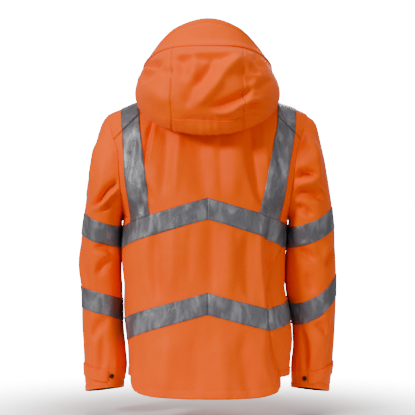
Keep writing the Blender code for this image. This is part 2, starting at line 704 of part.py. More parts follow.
def add_mesh(name, points, faces, material):
    """An object whose faces point out."""
    points = np.asarray(points)
    corners = points[np.asarray([face[:3] for face in faces])]
    if np.einsum("ij,ij->", corners[:, 0], np.cross(corners[:, 1], corners[:, 2])) < 0:
        faces = [face[::-1] for face in faces]
    mesh = bpy.data.meshes.new(name)
    mesh.from_pydata([tuple(p) for p in points], [], faces)
    mesh.materials.append(material)
    mesh.validate()
    made = bpy.data.objects.new(name, mesh)
    bpy.context.scene.collection.objects.link(made)
    return made


def thick(name, points, normals, thickness, material, tube=False):
    half = 0.5 * thickness * normals
    return wall(name, points - half, points + half, material, tube)


def on_top(name, points, normals, cloth, gaps, material, tube=False, inside=False):
    """A thin piece made from a panel's own points, moved out from it, or inside it."""
    side = -1 if inside else 1
    near = points + side * (0.5 * cloth + TAPE_LIFT) * normals
    far = near + side * TAPE_CLOTH * normals
    return wall(name, inset(near, gaps), inset(far, gaps), material, tube)


# ---- sleeves --------------------------------------------------------------------------
def armhole_loop(side, turn):
    """The armhole seam at an angle round it: 0 at the shoulder tip, 90 at the back."""
    z = ARMHOLE_MIDDLE_Z + ARMHOLE_HALF_HEIGHT * np.cos(turn)
    x = side * armhole[SIDE_NAMES[side]](z)
    y = torso_y(x, z, np.sin(turn) < 0)
    if_tip = np.cos(turn) > 1 - 1e-9
    return np.stack([x, np.where(if_tip, 0.0, y), z], axis=-1)


def sleeve_ring(side, turn, at):
    """The sleeve's plain tube at an angle round it and a fractional ring number."""
    name = SIDE_NAMES[side]
    rows = [
        [row[SLEEVE_COLUMNS.index(c)] for c in (
            "outer_z", "outer_" + name, "inner_z", "inner_" + name, "y_mid", "half_depth",
            "front_drop")]
        for row in SLEEVE
    ]
    values = flowing(rows, at)
    outer_z, outer_x, inner_z, inner_x, y_mid, depth, drop = np.moveaxis(values, -1, 0)
    up = squared_off(np.cos(turn), SLEEVE_POWER)
    back = squared_off(np.sin(turn), SLEEVE_POWER)
    return np.stack([
        side * (0.5 * (outer_x + inner_x) + 0.5 * (outer_x - inner_x) * up),
        y_mid - depth * back,
        0.5 * (outer_z + inner_z) + 0.5 * (outer_z - inner_z) * up + 0.5 * drop * (np.sin(turn) - 1),
    ], axis=-1)


def sleeve_point(side, turn, at):
    turn, at = np.broadcast_arrays(np.asarray(turn, float), np.asarray(at, float))
    seam = armhole_loop(side, turn) - sleeve_ring(side, turn, np.zeros_like(at))
    return sleeve_ring(side, turn, at) + seam * eased(1 - at / SLEEVE_BLEND)[..., None]


def ring_at_height(side, turn, z):
    """The ring number where the sleeve reaches a height, at an angle round it."""
    tries = np.linspace(0, len(SLEEVE) - 1, 221)
    heights = sleeve_point(side, np.full_like(tries, turn), tries)[:, 2]
    heights = np.minimum.accumulate(heights)
    return float(np.interp(-z, -heights, tries))


def sleeve_band_height(side, which, turn):
    """Height of a band's middle at an angle round the sleeve."""
    outer, back, inner = SLEEVE_BANDS[SIDE_NAMES[side]][which]
    level = 0.5 * (outer + inner)
    return level + 0.5 * (outer - inner) * math.cos(turn) + (back - level) * math.sin(turn) ** 2


SLEEVE_ROWS = (6, 1, 3, 1, 2, 1, 1)     # above, on and below the upper band, and so on
SLEEVE_UPPER_ROW, SLEEVE_LOWER_ROW, SLEEVE_TAB_ROW, SLEEVE_CUFF_ROW = 6, 10, 13, 14


def sleeve_grid(side):
    """Middle surface of a sleeve: a column for each angle, rows from armhole to cuff."""
    turns = np.radians(np.arange(ARMHOLE_STEPS) * 360.0 / ARMHOLE_STEPS)
    columns = []
    for turn in turns:
        guides = [0.0]
        for which, half in (("upper", BAND_HALF_HEIGHT), ("lower", BAND_HALF_HEIGHT),
                            ("tab", TAB_HALF_HEIGHT)):
            z = sleeve_band_height(side, which, turn)
            guides += [ring_at_height(side, turn, z + half), ring_at_height(side, turn, z - half)]
        guides.append(len(SLEEVE) - 1.0)
        at = [0.0]
        for rows, start, stop in zip(SLEEVE_ROWS, guides, guides[1:]):
            at += steps(start, stop, rows)
        columns.append(at)
    at = np.array(columns)
    turn = np.repeat(turns[:, None], at.shape[1], axis=1)
    return turn, at


def sleeve_normal(side, turn, at):
    d_turn, d_at = 1e-3, 1e-3
    top = len(SLEEVE) - 1.0
    high, low = np.minimum(at + d_at, top), np.maximum(at - d_at, 0.0)
    round_it = sleeve_point(side, turn + d_turn, at) - sleeve_point(side, turn - d_turn, at)
    along = sleeve_point(side, turn, high) - sleeve_point(side, turn, low)
    normals = unit(np.cross(round_it, along))
    middle = sleeve_point(side, turn, at) - sleeve_point(side, turn + math.pi, at)
    facing = np.sign(np.sum(normals * middle, axis=-1, keepdims=True))
    return normals * np.where(facing == 0, 1, facing)


def sleeve_surface(side):
    """(points, normals) of a sleeve, with its largest creases."""
    turn, at = sleeve_grid(side)
    points = sleeve_point(side, turn, at)
    normals = sleeve_normal(side, turn, at)
    out = np.zeros(at.shape)
    for name, angle_a, z_a, angle_b, z_b, half, height in SLEEVE_CREASES:
        if name == SIDE_NAMES[side]:
            ends = []
            for angle, z in ((angle_a, z_a), (angle_b, z_b)):
                here = math.radians(angle)
                ends.append(sleeve_point(side, here, ring_at_height(side, here, z)))
            out += height * ridge_between(points, ends[0], ends[1], half)
    points = points + (out * eased(at / 0.8))[..., None] * normals
    normals[:, 0] = armhole_normal(points[:, 0])
    points[:, 0, 0] += side * SEAM_HALF_GAP
    return points, normals


# ---- collar and zip -------------------------------------------------------------------
COLLAR_ROWS = 2


def neck_turns():
    """Angles of the panels' columns round the neckline, from zip edge to zip edge."""
    behind = [180 - (180 - NECK_CORNER) * s / BACK_KEYS[1] for s in BACK_SHARES if s <= BACK_KEYS[1]]
    half = sorted(list(NECK_ANGLES.values()) + behind)
    return half + [360 - angle for angle in half[-2::-1]]


def neck_point(angle):
    return neckline(angle, RIGHT) if angle <= 180 else neckline(360 - angle, LEFT)


def collar_grid():
    columns = []
    for angle in neck_turns():
        foot = neck_point(angle)
        out = neck_normal(foot)
        column_points = []
        for k in range(COLLAR_ROWS + 1):
            share = k / COLLAR_ROWS
            lean = COLLAR_LEAN * (1 - (1 - share) ** 2)
            rise = COLLAR_FOOT + COLLAR_HEIGHT * share
            column_points.append(foot - out * lean + np.array([0, 0, rise]))
        columns.append(column_points)
    return np.array(columns)


def zip_line():
    """The centre front from the hem to the collar's top: (y, z) of the panels' surface."""
    heights = np.linspace(FRONT_HEM_Z + BOX_HEIGHT, -0.072, 9)
    hem_to_neck = [(float(torso["front"](z)), z) for z in heights]
    neck = neckline(NECK_ANGLES[1.0], RIGHT)
    collar = []
    for share in (0.0, 0.5, 0.97):
        lean = COLLAR_LEAN * (1 - (1 - share) ** 2)
        collar.append((neck[1] - lean, neck[2] + 0.004 + COLLAR_HEIGHT * share - 0.004 * share))
    return np.array(hem_to_neck + collar)


def strip(name, line, x_low, x_high, y_near, y_far, material):
    """A flat strip up the centre front between two distances across and in depth."""
    grids = []
    for depth in (y_near, y_far):
        column_points = [[(x, y + depth, z) for y, z in line] for x in (x_low, x_high)]
        grids.append(np.array(column_points))
    return wall(name, grids[0], grids[1], material)


# ---- hood -----------------------------------------------------------------------------
def hood_profile(angle):
    """The hood's cross-section in one direction round the neck: rows of (distance, height)."""
    angle = abs(angle)
    foot = neck_point(180 - angle)
    reach = math.hypot(foot[0], foot[1])
    at = np.interp(angle, column(HOOD_COLUMNS, HOOD, "angle"), range(len(HOOD)))
    pairs = [[value for pair in row[1:] for value in pair] for row in HOOD]
    mirrored = [pairs[1]] + pairs
    values = flowing(mirrored, at + 1).reshape(-1, 2)
    start = np.array([[reach + HOOD_FOOT[0], foot[2] + HOOD_FOOT[1]]])
    return np.concatenate([start, values])


profiles = {a: hood_profile(a) for a in np.arange(0.0, HOOD_END + 0.1, 2.0)}
profile_angles = sorted(profiles)
profile_stack = np.array([profiles[a].ravel() for a in profile_angles])


def hood_point(angle, at):
    """A point of the hood at an angle round the neck and a place on the profile."""
    row = abs(angle) / 2.0
    i = min(int(row), len(profile_angles) - 2)
    blend = row - i
    profile = (profile_stack[i] * (1 - blend) + profile_stack[i + 1] * blend).reshape(-1, 2)
    distance, height = flowing(profile, at)
    turn = math.radians(angle)
    return np.array([distance * math.sin(turn), -distance * math.cos(turn), height])


def hood_normal(angle, at):
    d = 0.02
    round_it = hood_point(angle + 0.5, at) - hood_point(angle - 0.5, at)
    along = hood_point(angle, min(at + d, BRIM_ROW)) - hood_point(angle, max(at - d, 0.0))
    return unit(np.cross(round_it, along))


def hood_seam_angle(at):
    """Where the centre panel ends, at a place on the profile."""
    angle = 24.0
    for _ in range(6):
        point = hood_point(angle, at)
        reach = math.hypot(point[0], point[1])
        angle = math.degrees(math.asin(min(HOOD_SEAM_X / reach, HOOD_SEAM_SINE)))
    return angle


def hood_surface(angles_at, places):
    """(points, normals) of a piece of the hood, with its folds."""
    points, normals = [], []
    for at_share in angles_at:
        column_points, column_normals = [], []
        for place in places:
            angle, at = at_share(place)
            point, normal = hood_point(angle, at), hood_normal(angle, at)
            flat = point[[0, 2]]
            shift = 0.0
            for x_a, z_a, x_b, z_b, half, height in HOOD_FOLDS:
                start, stop = np.array([x_a, z_a]), np.array([x_b, z_b])
                shift += height * float(ridge_between(flat, start, stop, half))
            outer_side = eased((at - 2.2) / 0.6) * eased((5.4 - at) / 0.6)
            column_points.append(point + normal * shift * outer_side)
            column_normals.append(normal)
        points.append(column_points)
        normals.append(column_normals)
    return np.array(points), np.array(normals)


HOOD_PLACES = (0.0, 0.7, 1.4, 2.0, ADJUSTER_ROWS[0], ADJUSTER_ROWS[1], 3.4, 4.0, 4.5, 5.0, 5.5,
               PEAK_ROW)
CENTRE_SHARES = (-1.0, -ADJUSTER_SHARE, -0.47, 0.0, 0.47, ADJUSTER_SHARE, 1.0)
SIDE_SHARES = (0.0, 0.14, 0.28, 0.40, 0.50, 0.56, 0.72, 0.86, 1.0)


def centre_column(share):
    return lambda at: (share * hood_seam_angle(at), at)


def side_column(share, side):
    def place(at):
        seam = hood_seam_angle(at)
        beside = PEAK_END + PEAK_GAP
        angle = float(np.interp(share, (0, 0.5, 1), (seam, beside, HOOD_END)))
        extra = (BRIM_ROW - PEAK_ROW) * float(eased((angle - beside) / PEAK_NOTCH))
        return side * angle, at * (PEAK_ROW + extra) / PEAK_ROW
    return place


def peak_column(angle):
    return lambda at: (angle, at)


# ---- materials ------------------------------------------------------------------------
def material(name, colour, roughness, metallic=0.0):
    made = bpy.data.materials.new(name)
    made.use_nodes = True
    made.diffuse_color = (*colour, 1.0)
    shader = made.node_tree.nodes["Principled BSDF"]
    shader.inputs["Base Color"].default_value = (*colour, 1.0)
    shader.inputs["Roughness"].default_value = roughness
    shader.inputs["Metallic"].default_value = metallic
    return made


for old in list(bpy.data.objects):
    bpy.data.objects.remove(old, do_unlink=True)

orange = material("orange_shell", (0.80, 0.14, 0.02), 0.75)
silver = material("reflective_tape", (0.15, 0.15, 0.16), 0.45, 0.3)
dark_cloth = material("dark_facing", (0.02, 0.02, 0.022), 0.85)
black_plastic = material("black_plastic", (0.012, 0.012, 0.013), 0.40)
zip_plastic = material("zip_coil", (0.03, 0.03, 0.032), 0.50)
zip_metal = material("zip_metal", (0.10, 0.10, 0.11), 0.35, 0.9)


# ---- the body panels and their tape -----------------------------------------------------
def add_back():
    points = back_grid()
    middle = len(BACK_SHARES) - 1
    reach = BACK_SHARES.index(BACK_KEYS[1])
    normals = panel_normals(points, (0, -1), range(middle - reach, middle + reach + 1))
    points = points + torso_folds(points)[..., None] * normals
    gap = SEAM_HALF_GAP
    thick("back_panel", inset(points, (gap, gap, 0, gap)), normals, CLOTH, orange)
    return points, normals


def add_front(side, back):
    points = front_grid(side, back)
    neck_columns = [i for i, s in enumerate(FRONT_SHARES) if s >= FRONT_NECK_SHARE]
    normals = panel_normals(points, (0,), neck_columns)
    points = points + torso_folds(points)[..., None] * normals
    gap = SEAM_HALF_GAP
    thick("front_" + SIDE_NAMES[side], inset(points, (gap, 0, 0, gap)), normals, CLOTH, orange)
    return points, normals


def add_panel_tapes(name, points, normals, columns, brace_columns, gaps):
    """The two bands and the brace on one half of a panel."""
    first, last = columns
    for band, row in (("upper", UPPER_BAND_ROW), ("lower", LOWER_BAND_ROW)):
        block = (slice(first, last + 1), slice(row, row + 2))
        on_top(f"tape_{name}_{band}", points[block], normals[block], CLOTH, gaps, silver)
    first, last = brace_columns
    block = (slice(first, last + 1), slice(BAND_TOP_ROW, None))
    gap = SEAM_HALF_GAP
    on_top(f"brace_{name}", points[block], normals[block], CLOTH, (0, 0, gap, 2 * gap), silver)


def add_body():
    gap = SEAM_HALF_GAP
    back_points, back_normals = add_back()
    middle = len(BACK_SHARES) - 1
    low, high = BACK_BRACE
    add_panel_tapes("back_left", back_points, back_normals, (0, middle),
                    (middle - high, middle - low), (2 * gap, gap, 0, 0))
    add_panel_tapes("back_right", back_points, back_normals, (middle, 2 * middle),
                    (middle + low, middle + high), (gap, 2 * gap, 0, 0))
    bare_back = back_grid()
    for side in (LEFT, RIGHT):
        points, normals = add_front(side, bare_back)
        add_panel_tapes("front_" + SIDE_NAMES[side], points, normals, (0, len(FRONT_SHARES) - 1),
                        FRONT_BRACE, (2 * gap, 0, 0, 0))


add_body()


# ---- the sleeves and what is on them ----------------------------------------------------
def sleeve_column(angle):
    return int(round(angle / 360.0 * ARMHOLE_STEPS))


def columns_between(points, angles):
    """A block of sleeve columns between two angles, either of which may be negative."""
    wanted = range(sleeve_column(angles[0]), sleeve_column(angles[1]) + 1)
    return points[[i % ARMHOLE_STEPS for i in wanted]]


def add_stud(name, foot, normal):
    """A press stud: a short turned cap standing on the sleeve."""
    across = unit(np.cross(normal, np.array([0.0, 0.0, 1.0])))
    up = np.cross(across, normal)
    sides = 12
    profile = ((0.0, 1.0), (0.6, 1.0), (1.0, 0.72))
    points, faces = [], []
    for height, width in profile:
        for k in range(sides):
            turn = 2 * math.pi * k / sides
            around = across * math.cos(turn) + up * math.sin(turn)
            points.append(foot + normal * STUD_HEIGHT * height + around * STUD_RADIUS * width)
    for ring in range(len(profile) - 1):
        for k in range(sides):
            a, b = ring * sides + k, ring * sides + (k + 1) % sides
            faces += [(a, b, b + sides), (a, b + sides, a + sides)]
    top = (len(profile) - 1) * sides
    faces += [(0, k + 1, k) for k in range(1, sides - 1)]
    faces += [(top, top + k, top + k + 1) for k in range(1, sides - 1)]
    add_mesh(name, points, faces, black_plastic)


def add_sleeve(side):
    name = SIDE_NAMES[side]
    points, normals = sleeve_surface(side)
    thick("sleeve_" + name, points, normals, CLOTH, orange, tube=True)
    for band, row in (("upper", SLEEVE_UPPER_ROW), ("lower", SLEEVE_LOWER_ROW)):
        block = (slice(None), slice(row, row + 2))
        on_top(f"tape_sleeve_{name}_{band}", points[block], normals[block], CLOTH, (0, 0, 0, 0),
               silver, tube=True)
    cuff = (slice(None), slice(SLEEVE_CUFF_ROW, None))
    on_top(f"cuff_facing_{name}", points[cuff], normals[cuff], CLOTH, (0, 0, 0, 0), dark_cloth,
           tube=True, inside=True)
    tab = slice(SLEEVE_TAB_ROW, SLEEVE_TAB_ROW + 2)
    on_top(f"cuff_tab_{name}", columns_between(points, TAB_ANGLES)[:, tab],
           columns_between(normals, TAB_ANGLES)[:, tab], CLOTH, (0, 0, 0, 0), orange)
    beside = sleeve_column(TAB_ANGLES[1])
    block = [beside, beside + 1]
    foot = points[block, SLEEVE_TAB_ROW:SLEEVE_TAB_ROW + 2].mean(axis=(0, 1))
    normal = unit(normals[block, SLEEVE_TAB_ROW:SLEEVE_TAB_ROW + 2].mean(axis=(0, 1)))
    add_stud(f"cuff_stud_{name}", foot + normal * (0.5 * CLOTH + STUD_LIFT), normal)
    if side == LEFT:
        rows = slice(PATCH_ROW, PATCH_ROW + 2)
        on_top("sleeve_patch", columns_between(points, PATCH_ANGLES)[:, rows],
               columns_between(normals, PATCH_ANGLES)[:, rows], CLOTH, (0, 0, 0, 0), dark_cloth)


for side in (LEFT, RIGHT):
    add_sleeve(side)


# ---- the collar and the zip -------------------------------------------------------------
collar_points = collar_grid()
thick("collar", collar_points, neck_normal(collar_points), COLLAR_CLOTH, orange)

front_line = zip_line()


def front_surface_y(z):
    """How far forward the collar's front stands at a height."""
    return float(np.interp(z, front_line[:, 1], front_line[:, 0]))


def box(name, low, high, material):
    corners = [(x, y, z) for z in (low[2], high[2]) for y in (low[1], high[1]) for x in (low[0], high[0])]
    faces = [(0, 2, 3, 1), (4, 5, 7, 6), (0, 1, 5, 4), (2, 6, 7, 3), (0, 4, 6, 2), (1, 3, 7, 5)]
    return add_mesh(name, corners, faces, material)


def rod_across(name, radius, half_length, y, z, material, sides=12):
    """A round rod along X."""
    points = []
    for x in (-half_length, half_length):
        for k in range(sides):
            turn = 2 * math.pi * (k + 0.5) / sides
            points.append((x, y + radius * math.cos(turn), z + radius * math.sin(turn)))
    faces = [tuple(range(sides)), tuple(range(2 * sides - 1, sides - 1, -1))]
    faces += [(k, sides + k, sides + (k + 1) % sides, (k + 1) % sides) for k in range(sides)]
    return add_mesh(name, points, faces, material)


def combine(target, helper, operation):
    """Joins a helper to an object or cuts it away, and keeps the helper out of the model."""
    boolean = target.modifiers.new(helper.name, "BOOLEAN")
    boolean.operation = operation
    boolean.object = helper
    helper.hide_render = True
    helper.display_type = "WIRE"


def block(name, size, y, z, material):
    """A box given as (half width, half height, depth from, depth to) about a place."""
    half, tall, near, far = size
    return box(name, (-half, y + near, z - tall), (half, y + far, z + tall), material)


def add_zip():
    strip("zip_chain", front_line, -ZIP_CHAIN_HALF, ZIP_CHAIN_HALF, *ZIP_CHAIN_DEPTHS, zip_plastic)
    for side in (LEFT, RIGHT):
        strip("zip_tape_" + SIDE_NAMES[side], front_line, side * SEAM_HALF_GAP,
              side * ZIP_TAPE_WIDTH, *ZIP_TAPE_DEPTHS, dark_cloth)
    y = float(torso["front"](FRONT_HEM_Z))
    top = FRONT_HEM_Z + BOX_HEIGHT - 2 * SEAM_HALF_GAP
    back, front = ZIP_TAPE_DEPTHS[0], ZIP_CHAIN_DEPTHS[1]
    box("zip_bottom_box", (-BOX_HALF_WIDTH, y + back, FRONT_HEM_Z), (BOX_HALF_WIDTH, y + front, top),
        zip_plastic)


def add_slider_and_pull():
    y = front_surface_y(SLIDER_Z)
    slider = block("zip_slider", SLIDER_PLATE, y, SLIDER_Z, zip_metal)
    combine(slider, block("slider_lug", LUG, y, SLIDER_Z, zip_metal), "UNION")
    pin = rod_across("slider_pin", PIN_RADIUS, PIN_HALF_LENGTH, y + PIN_DEPTH, SLIDER_Z, zip_metal)
    combine(slider, pin, "UNION")

    hinge = bpy.data.objects.new("pull_axis", None)
    hinge.location = (0, y + PIN_DEPTH, SLIDER_Z)
    bpy.context.scene.collection.objects.link(hinge)
    depth = PULL_HALF_DEPTH
    pull = box("zip_pull", (-PULL_HALF_WIDTH, -depth, -PULL_BOTTOM), (PULL_HALF_WIDTH, depth, PULL_TOP),
               black_plastic)
    notch_half, notch_low = PULL_NOTCH
    notch = box("pull_notch", (-notch_half, -2 * depth, -notch_low), (notch_half, 2 * depth, 2 * PULL_TOP),
                black_plastic)
    hole = rod_across("pull_hole", PULL_HOLE_RADIUS, 2 * PULL_HALF_WIDTH, 0, 0, black_plastic)
    eye_half, eye_tall, eye_low = PULL_EYE
    eye = box("pull_eye", (-eye_half, -2 * depth, -eye_low - eye_tall),
              (eye_half, 2 * depth, -eye_low + eye_tall),
              black_plastic)
    for cutter in (notch, hole, eye):
        combine(pull, cutter, "DIFFERENCE")
        cutter.parent = hinge
    pull.parent = hinge


add_zip()
add_slider_and_pull()


# ---- the hood ---------------------------------------------------------------------------
def add_hood():
    gap = SEAM_HALF_GAP
    centre, centre_normals = hood_surface([centre_column(s) for s in CENTRE_SHARES], HOOD_PLACES)
    thick("hood_centre", inset(centre, (gap, gap, 0, gap)), centre_normals, CLOTH, orange)
    adjuster = (slice(1, -1), slice(4, 6))
    on_top("hood_adjuster", centre[adjuster], centre_normals[adjuster], CLOTH, (0, 0, 0, 0), orange)
    for side in (LEFT, RIGHT):
        points, normals = hood_surface([side_column(s, side) for s in SIDE_SHARES], HOOD_PLACES)
        thick("hood_side_" + SIDE_NAMES[side], inset(points, (gap, 0, 0, gap)), normals, CLOTH, orange)
    seam = hood_seam_angle(PEAK_ROW)
    beside = [side_column(s, RIGHT)(PEAK_ROW)[0] for s in SIDE_SHARES if 0 < s < 0.5] + [PEAK_END]
    angles = [-a for a in beside[::-1]] + [s * seam for s in CENTRE_SHARES] + beside
    peak, peak_normals = hood_surface([peak_column(a) for a in angles], np.linspace(PEAK_ROW, BRIM_ROW, 3))
    thick("hood_peak", inset(peak, (0, 0, gap, 0)), peak_normals, CLOTH, orange)


add_hood()
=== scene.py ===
import math

import bmesh
import bpy
import numpy as np
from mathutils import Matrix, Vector


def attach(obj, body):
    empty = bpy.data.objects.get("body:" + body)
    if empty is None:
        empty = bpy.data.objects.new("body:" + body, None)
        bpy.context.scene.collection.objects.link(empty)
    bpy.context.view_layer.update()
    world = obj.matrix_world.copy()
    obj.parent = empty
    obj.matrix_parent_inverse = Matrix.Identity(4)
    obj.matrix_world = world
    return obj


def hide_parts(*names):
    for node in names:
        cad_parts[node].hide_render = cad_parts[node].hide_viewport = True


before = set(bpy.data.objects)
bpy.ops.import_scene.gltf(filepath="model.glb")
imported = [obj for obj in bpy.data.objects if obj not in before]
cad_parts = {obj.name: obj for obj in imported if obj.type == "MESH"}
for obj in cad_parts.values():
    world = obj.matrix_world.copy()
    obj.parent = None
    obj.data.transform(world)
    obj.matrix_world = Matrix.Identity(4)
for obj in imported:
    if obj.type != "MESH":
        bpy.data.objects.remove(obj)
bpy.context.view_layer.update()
print("frame loaded,", len(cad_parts), "nodes")

left, right = -1, 1
sideName = {left: "left", right: "right"}
body = "garment"


# small maths

def smoothCurve(xs, ys):
    # monotone cubic, so it never overshoots its points
    order = np.argsort(xs)
    xs, ys = np.asarray(xs, float)[order], np.asarray(ys, float)[order]
    step = np.diff(xs)
    slope = np.diff(ys) / step
    tangent = np.concatenate([slope[:1], np.zeros(len(xs) - 2), slope[-1:]])
    for i in range(1, len(xs) - 1):
        a, b = slope[i - 1], slope[i]
        tangent[i] = 0.0 if a * b <= 0 else 2 * a * b / (a + b)

    def value(x):
        x = np.clip(np.asarray(x, float), xs[0], xs[-1])
        i = np.clip(np.searchsorted(xs, x) - 1, 0, len(step) - 1)
        t = (x - xs[i]) / step[i]
        bend = (2 * t - 3) * t * t + 1
        return (bend * ys[i] + (1 - bend) * ys[i + 1]
                + t * (1 - t) ** 2 * step[i] * tangent[i]
                - t * t * (1 - t) * step[i] * tangent[i + 1])

    return value


def curvesOf(columns, rows):
    # the first column is what the others are read against
    table = np.asarray(rows, float)
    return {name: smoothCurve(table[:, 0], table[:, i]) for i, name in enumerate(columns) if i}


def flowing(rows, at):
    # rows of numbers read at fractional row numbers (Catmull-Rom)
    rows = np.asarray(rows, float)
    at = np.clip(np.asarray(at, float), 0, len(rows) - 1)
    i = np.clip(np.floor(at).astype(int), 0, len(rows) - 2)
    t = (at - i)[..., None]
    p1, p2 = rows[i], rows[i + 1]
    p0 = np.where((i > 0)[..., None], rows[np.maximum(i - 1, 0)], 2 * p1 - p2)
    last = (i + 2 < len(rows))[..., None]
    p3 = np.where(last, rows[np.minimum(i + 2, len(rows) - 1)], 2 * p2 - p1)
    return p1 + 0.5 * t * (p2 - p0 + t * (2 * p0 - 5 * p1 + 4 * p2 - p3 + t * (3 * (p1 - p2) + p3 - p0)))


def unit(vectors):
    return vectors / np.maximum(np.linalg.norm(vectors, axis=-1, keepdims=True), 1e-12)


def eased(t):
    t = np.clip(t, 0.0, 1.0)
    return t * t * (3 - 2 * t)


def squaredOff(wave, power):
    return np.sign(wave) * np.abs(wave) ** (2.0 / power)


def solve(gap, low, high):
    for _ in range(45):
        middle = 0.5 * (low + high)
        if gap(middle) < 0:
            low = middle
        else:
            high = middle
    return 0.5 * (low + high)


def between(keys, values, share):
    i = min(max(int(np.searchsorted(keys, share)) - 1, 0), len(keys) - 2)
    t = (share - keys[i]) / (keys[i + 1] - keys[i])
    return values[i] * (1 - t) + values[i + 1] * t


def finer(shares, parts):
    # every gap of a list cut into smaller ones of about the given size
    made = [shares[0]]
    for a, b in zip(shares, shares[1:]):
        n = max(1, int(round(abs(b - a) / parts)))
        made += [a + (b - a) * (k + 1) / n for k in range(n)]
    return np.array(made)


def spread(guides, rows):
    # rows between guides: a list of arrays, one for each guide
    made = [guides[0]]
    for a, b, n in zip(guides, guides[1:], rows):
        made += [a + (b - a) * (k + 1) / n for k in range(n)]
    return np.array(made)


lattice = np.random.default_rng(41).uniform(-1, 1, (24, 24, 24))


def softNoise(points, size, shift=0):
    # smooth unevenness between -1 and 1, size in metres for each axis
    p = points / np.asarray(size, float) + 7.3 * shift
    base = np.floor(p).astype(int)
    f = p - base
    f = f * f * (3 - 2 * f)
    total = 0.0
    for dx in (0, 1):
        for dy in (0, 1):
            for dz in (0, 1):
                weight = (np.where(dx, f[..., 0], 1 - f[..., 0]) * np.where(dy, f[..., 1], 1 - f[..., 1])
                          * np.where(dz, f[..., 2], 1 - f[..., 2]))
                total = total + weight * lattice[(base[..., 0] + dx) % 24, (base[..., 1] + dy) % 24,
                                                 (base[..., 2] + dz) % 24]
    return total


def foldHeight(u, v, folds):
    # folds lie in a flat chart of the cloth. Each has two ends, a half width, how far it
    # stands out (or sinks in), how far it bows sideways, and how much cloth is pushed up
    # beside it, on the side of that number's sign
    total = np.zeros(np.broadcast(u, v).shape)
    for ua, va, ub, vb, half, height, bow, lip in folds:
        du, dv = ub - ua, vb - va
        length = math.hypot(du, dv)
        t = ((u - ua) * du + (v - va) * dv) / length ** 2
        across = ((u - ua) * dv - (v - va) * du) / length - bow * 4 * t * (1 - t)
        fade = eased((t + 0.10) / 0.38) * eased((1.10 - t) / 0.38)
        width = half * (0.6 + 0.4 * np.sin(np.pi * np.clip(t, 0, 1)))
        s = across / width
        shape = np.exp(-s * s)
        if lip:
            beside = s - math.copysign(1.9, lip)
            shape = shape - abs(lip) * np.exp(-(beside / 1.25) ** 2)
        total = total + height * fade * shape
    return total


# cloth pieces

cloth = {
    "shell": 0.0018,        # coated shell with its backing
    "collar": 0.0030,
    "tape": 0.0007,
    "lift": 0.00045,        # sewn pieces clear of the cloth below
    "seamGap": 0.0002,
    "step": 0.0038,         # size of a mesh cell
}


def gridLengths(points, axis):
    steps = np.linalg.norm(np.diff(points, axis=axis), axis=-1)
    zero = np.zeros_like(np.take(steps, [0], axis=axis))
    return np.concatenate([zero, np.cumsum(steps, axis=axis)], axis=axis)


def toBorder(points, border):
    # distance along the cloth to the first or last column, or the first or last row
    axis = 0 if "column" in border else 1
    lengths = gridLengths(points, axis)
    if "last" in border:
        lengths = np.take(lengths, [-1], axis=axis) - lengths
    return lengths


def inset(points, gaps):
    points = points.copy()
    for axis, first, inner, gap in ((0, 0, 1, gaps[0]), (0, -1, -2, gaps[1]), (1, 0, 1, gaps[2]), (1, -1, -2, gaps[3])):
        if gap:
            edge, inside = [slice(None)] * 2, [slice(None)] * 2
            edge[axis], inside[axis] = first, inner
            points[tuple(edge)] += gap * unit(points[tuple(inside)] - points[tuple(edge)])
    return points


def clothWall(name, near, far, material, tube=False):
    # a closed wall between two grids, with its cut lengths in metres as its UV map
    columns, rows = near.shape[:2]
    points = np.concatenate([far.reshape(-1, 3), near.reshape(-1, 3)])
    half = columns * rows
    i, j = np.meshgrid(np.arange(columns if tube else columns - 1), np.arange(rows - 1), indexing="ij")
    a, b = i * rows + j, ((i + 1) % columns) * rows + j
    outer = np.stack([a, b, b + 1, a + 1], axis=-1).reshape(-1, 4)
    inner = outer[:, ::-1] + half
    rims = []
    k = np.arange(columns if tube else columns - 1)
    for row, turned in ((0, False), (rows - 1, True)):
        p, q = k * rows + row, ((k + 1) % columns) * rows + row
        p, q = (q, p) if turned else (p, q)
        rims.append(np.stack([p, p + half, q + half, q], axis=-1))
    if not tube:
        k = np.arange(rows - 1)
        for col, turned in ((0, True), (columns - 1, False)):
            p, q = col * rows + k, col * rows + k + 1
            p, q = (q, p) if turned else (p, q)
            rims.append(np.stack([p, p + half, q + half, q], axis=-1))
    faces = np.concatenate([outer, inner] + rims)
    c = points[faces[:, :3]]
    d = points[faces[:, [0, 2, 3]]]
    volume = np.einsum("ij,ij->", c[:, 0], np.cross(c[:, 1], c[:, 2]))
    volume += np.einsum("ij,ij->", d[:, 0], np.cross(d[:, 1], d[:, 2]))
    if volume < 0:
        faces = faces[:, ::-1]
    mesh = bpy.data.meshes.new(name)
    mesh.from_pydata(points.tolist(), [], faces.tolist())
    mesh.materials.append(material)
    across = gridLengths(near, 0)
    u = np.repeat(across.mean(axis=1)[:, None], rows, axis=1)
    v = np.repeat(gridLengths(near, 1).mean(axis=0)[None], columns, axis=0)
    uv = np.tile(np.stack([u, v], axis=-1).reshape(-1, 2), (2, 1))
    corner = np.empty(len(mesh.loops), np.int32)
    mesh.loops.foreach_get("vertex_index", corner)
    layer = mesh.uv_layers.new(name="cut")
    layer.data.foreach_set("uv", uv[corner].astype(np.float32).ravel())
    # the cut edges are flat faces, so that the shading of the cloth stops at them
    mesh.polygons.foreach_set("use_smooth", np.arange(len(faces)) < len(outer) + len(inner))
    mesh.update()
    made = bpy.data.objects.new(name, mesh)
    bpy.context.scene.collection.objects.link(made)
    return made


def declareSheet(obj, spec):
    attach(obj, body)
    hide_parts(spec["node"])


def shellPiece(spec, points, normals, material, thickness=None, tube=False, gaps=(0, 0, 0, 0)):
    half = 0.5 * (thickness or cloth["shell"]) * normals
    points = inset(points, gaps)
    made = clothWall(spec["name"], points - half, points + half, material, tube)
    declareSheet(made, spec)
    return made


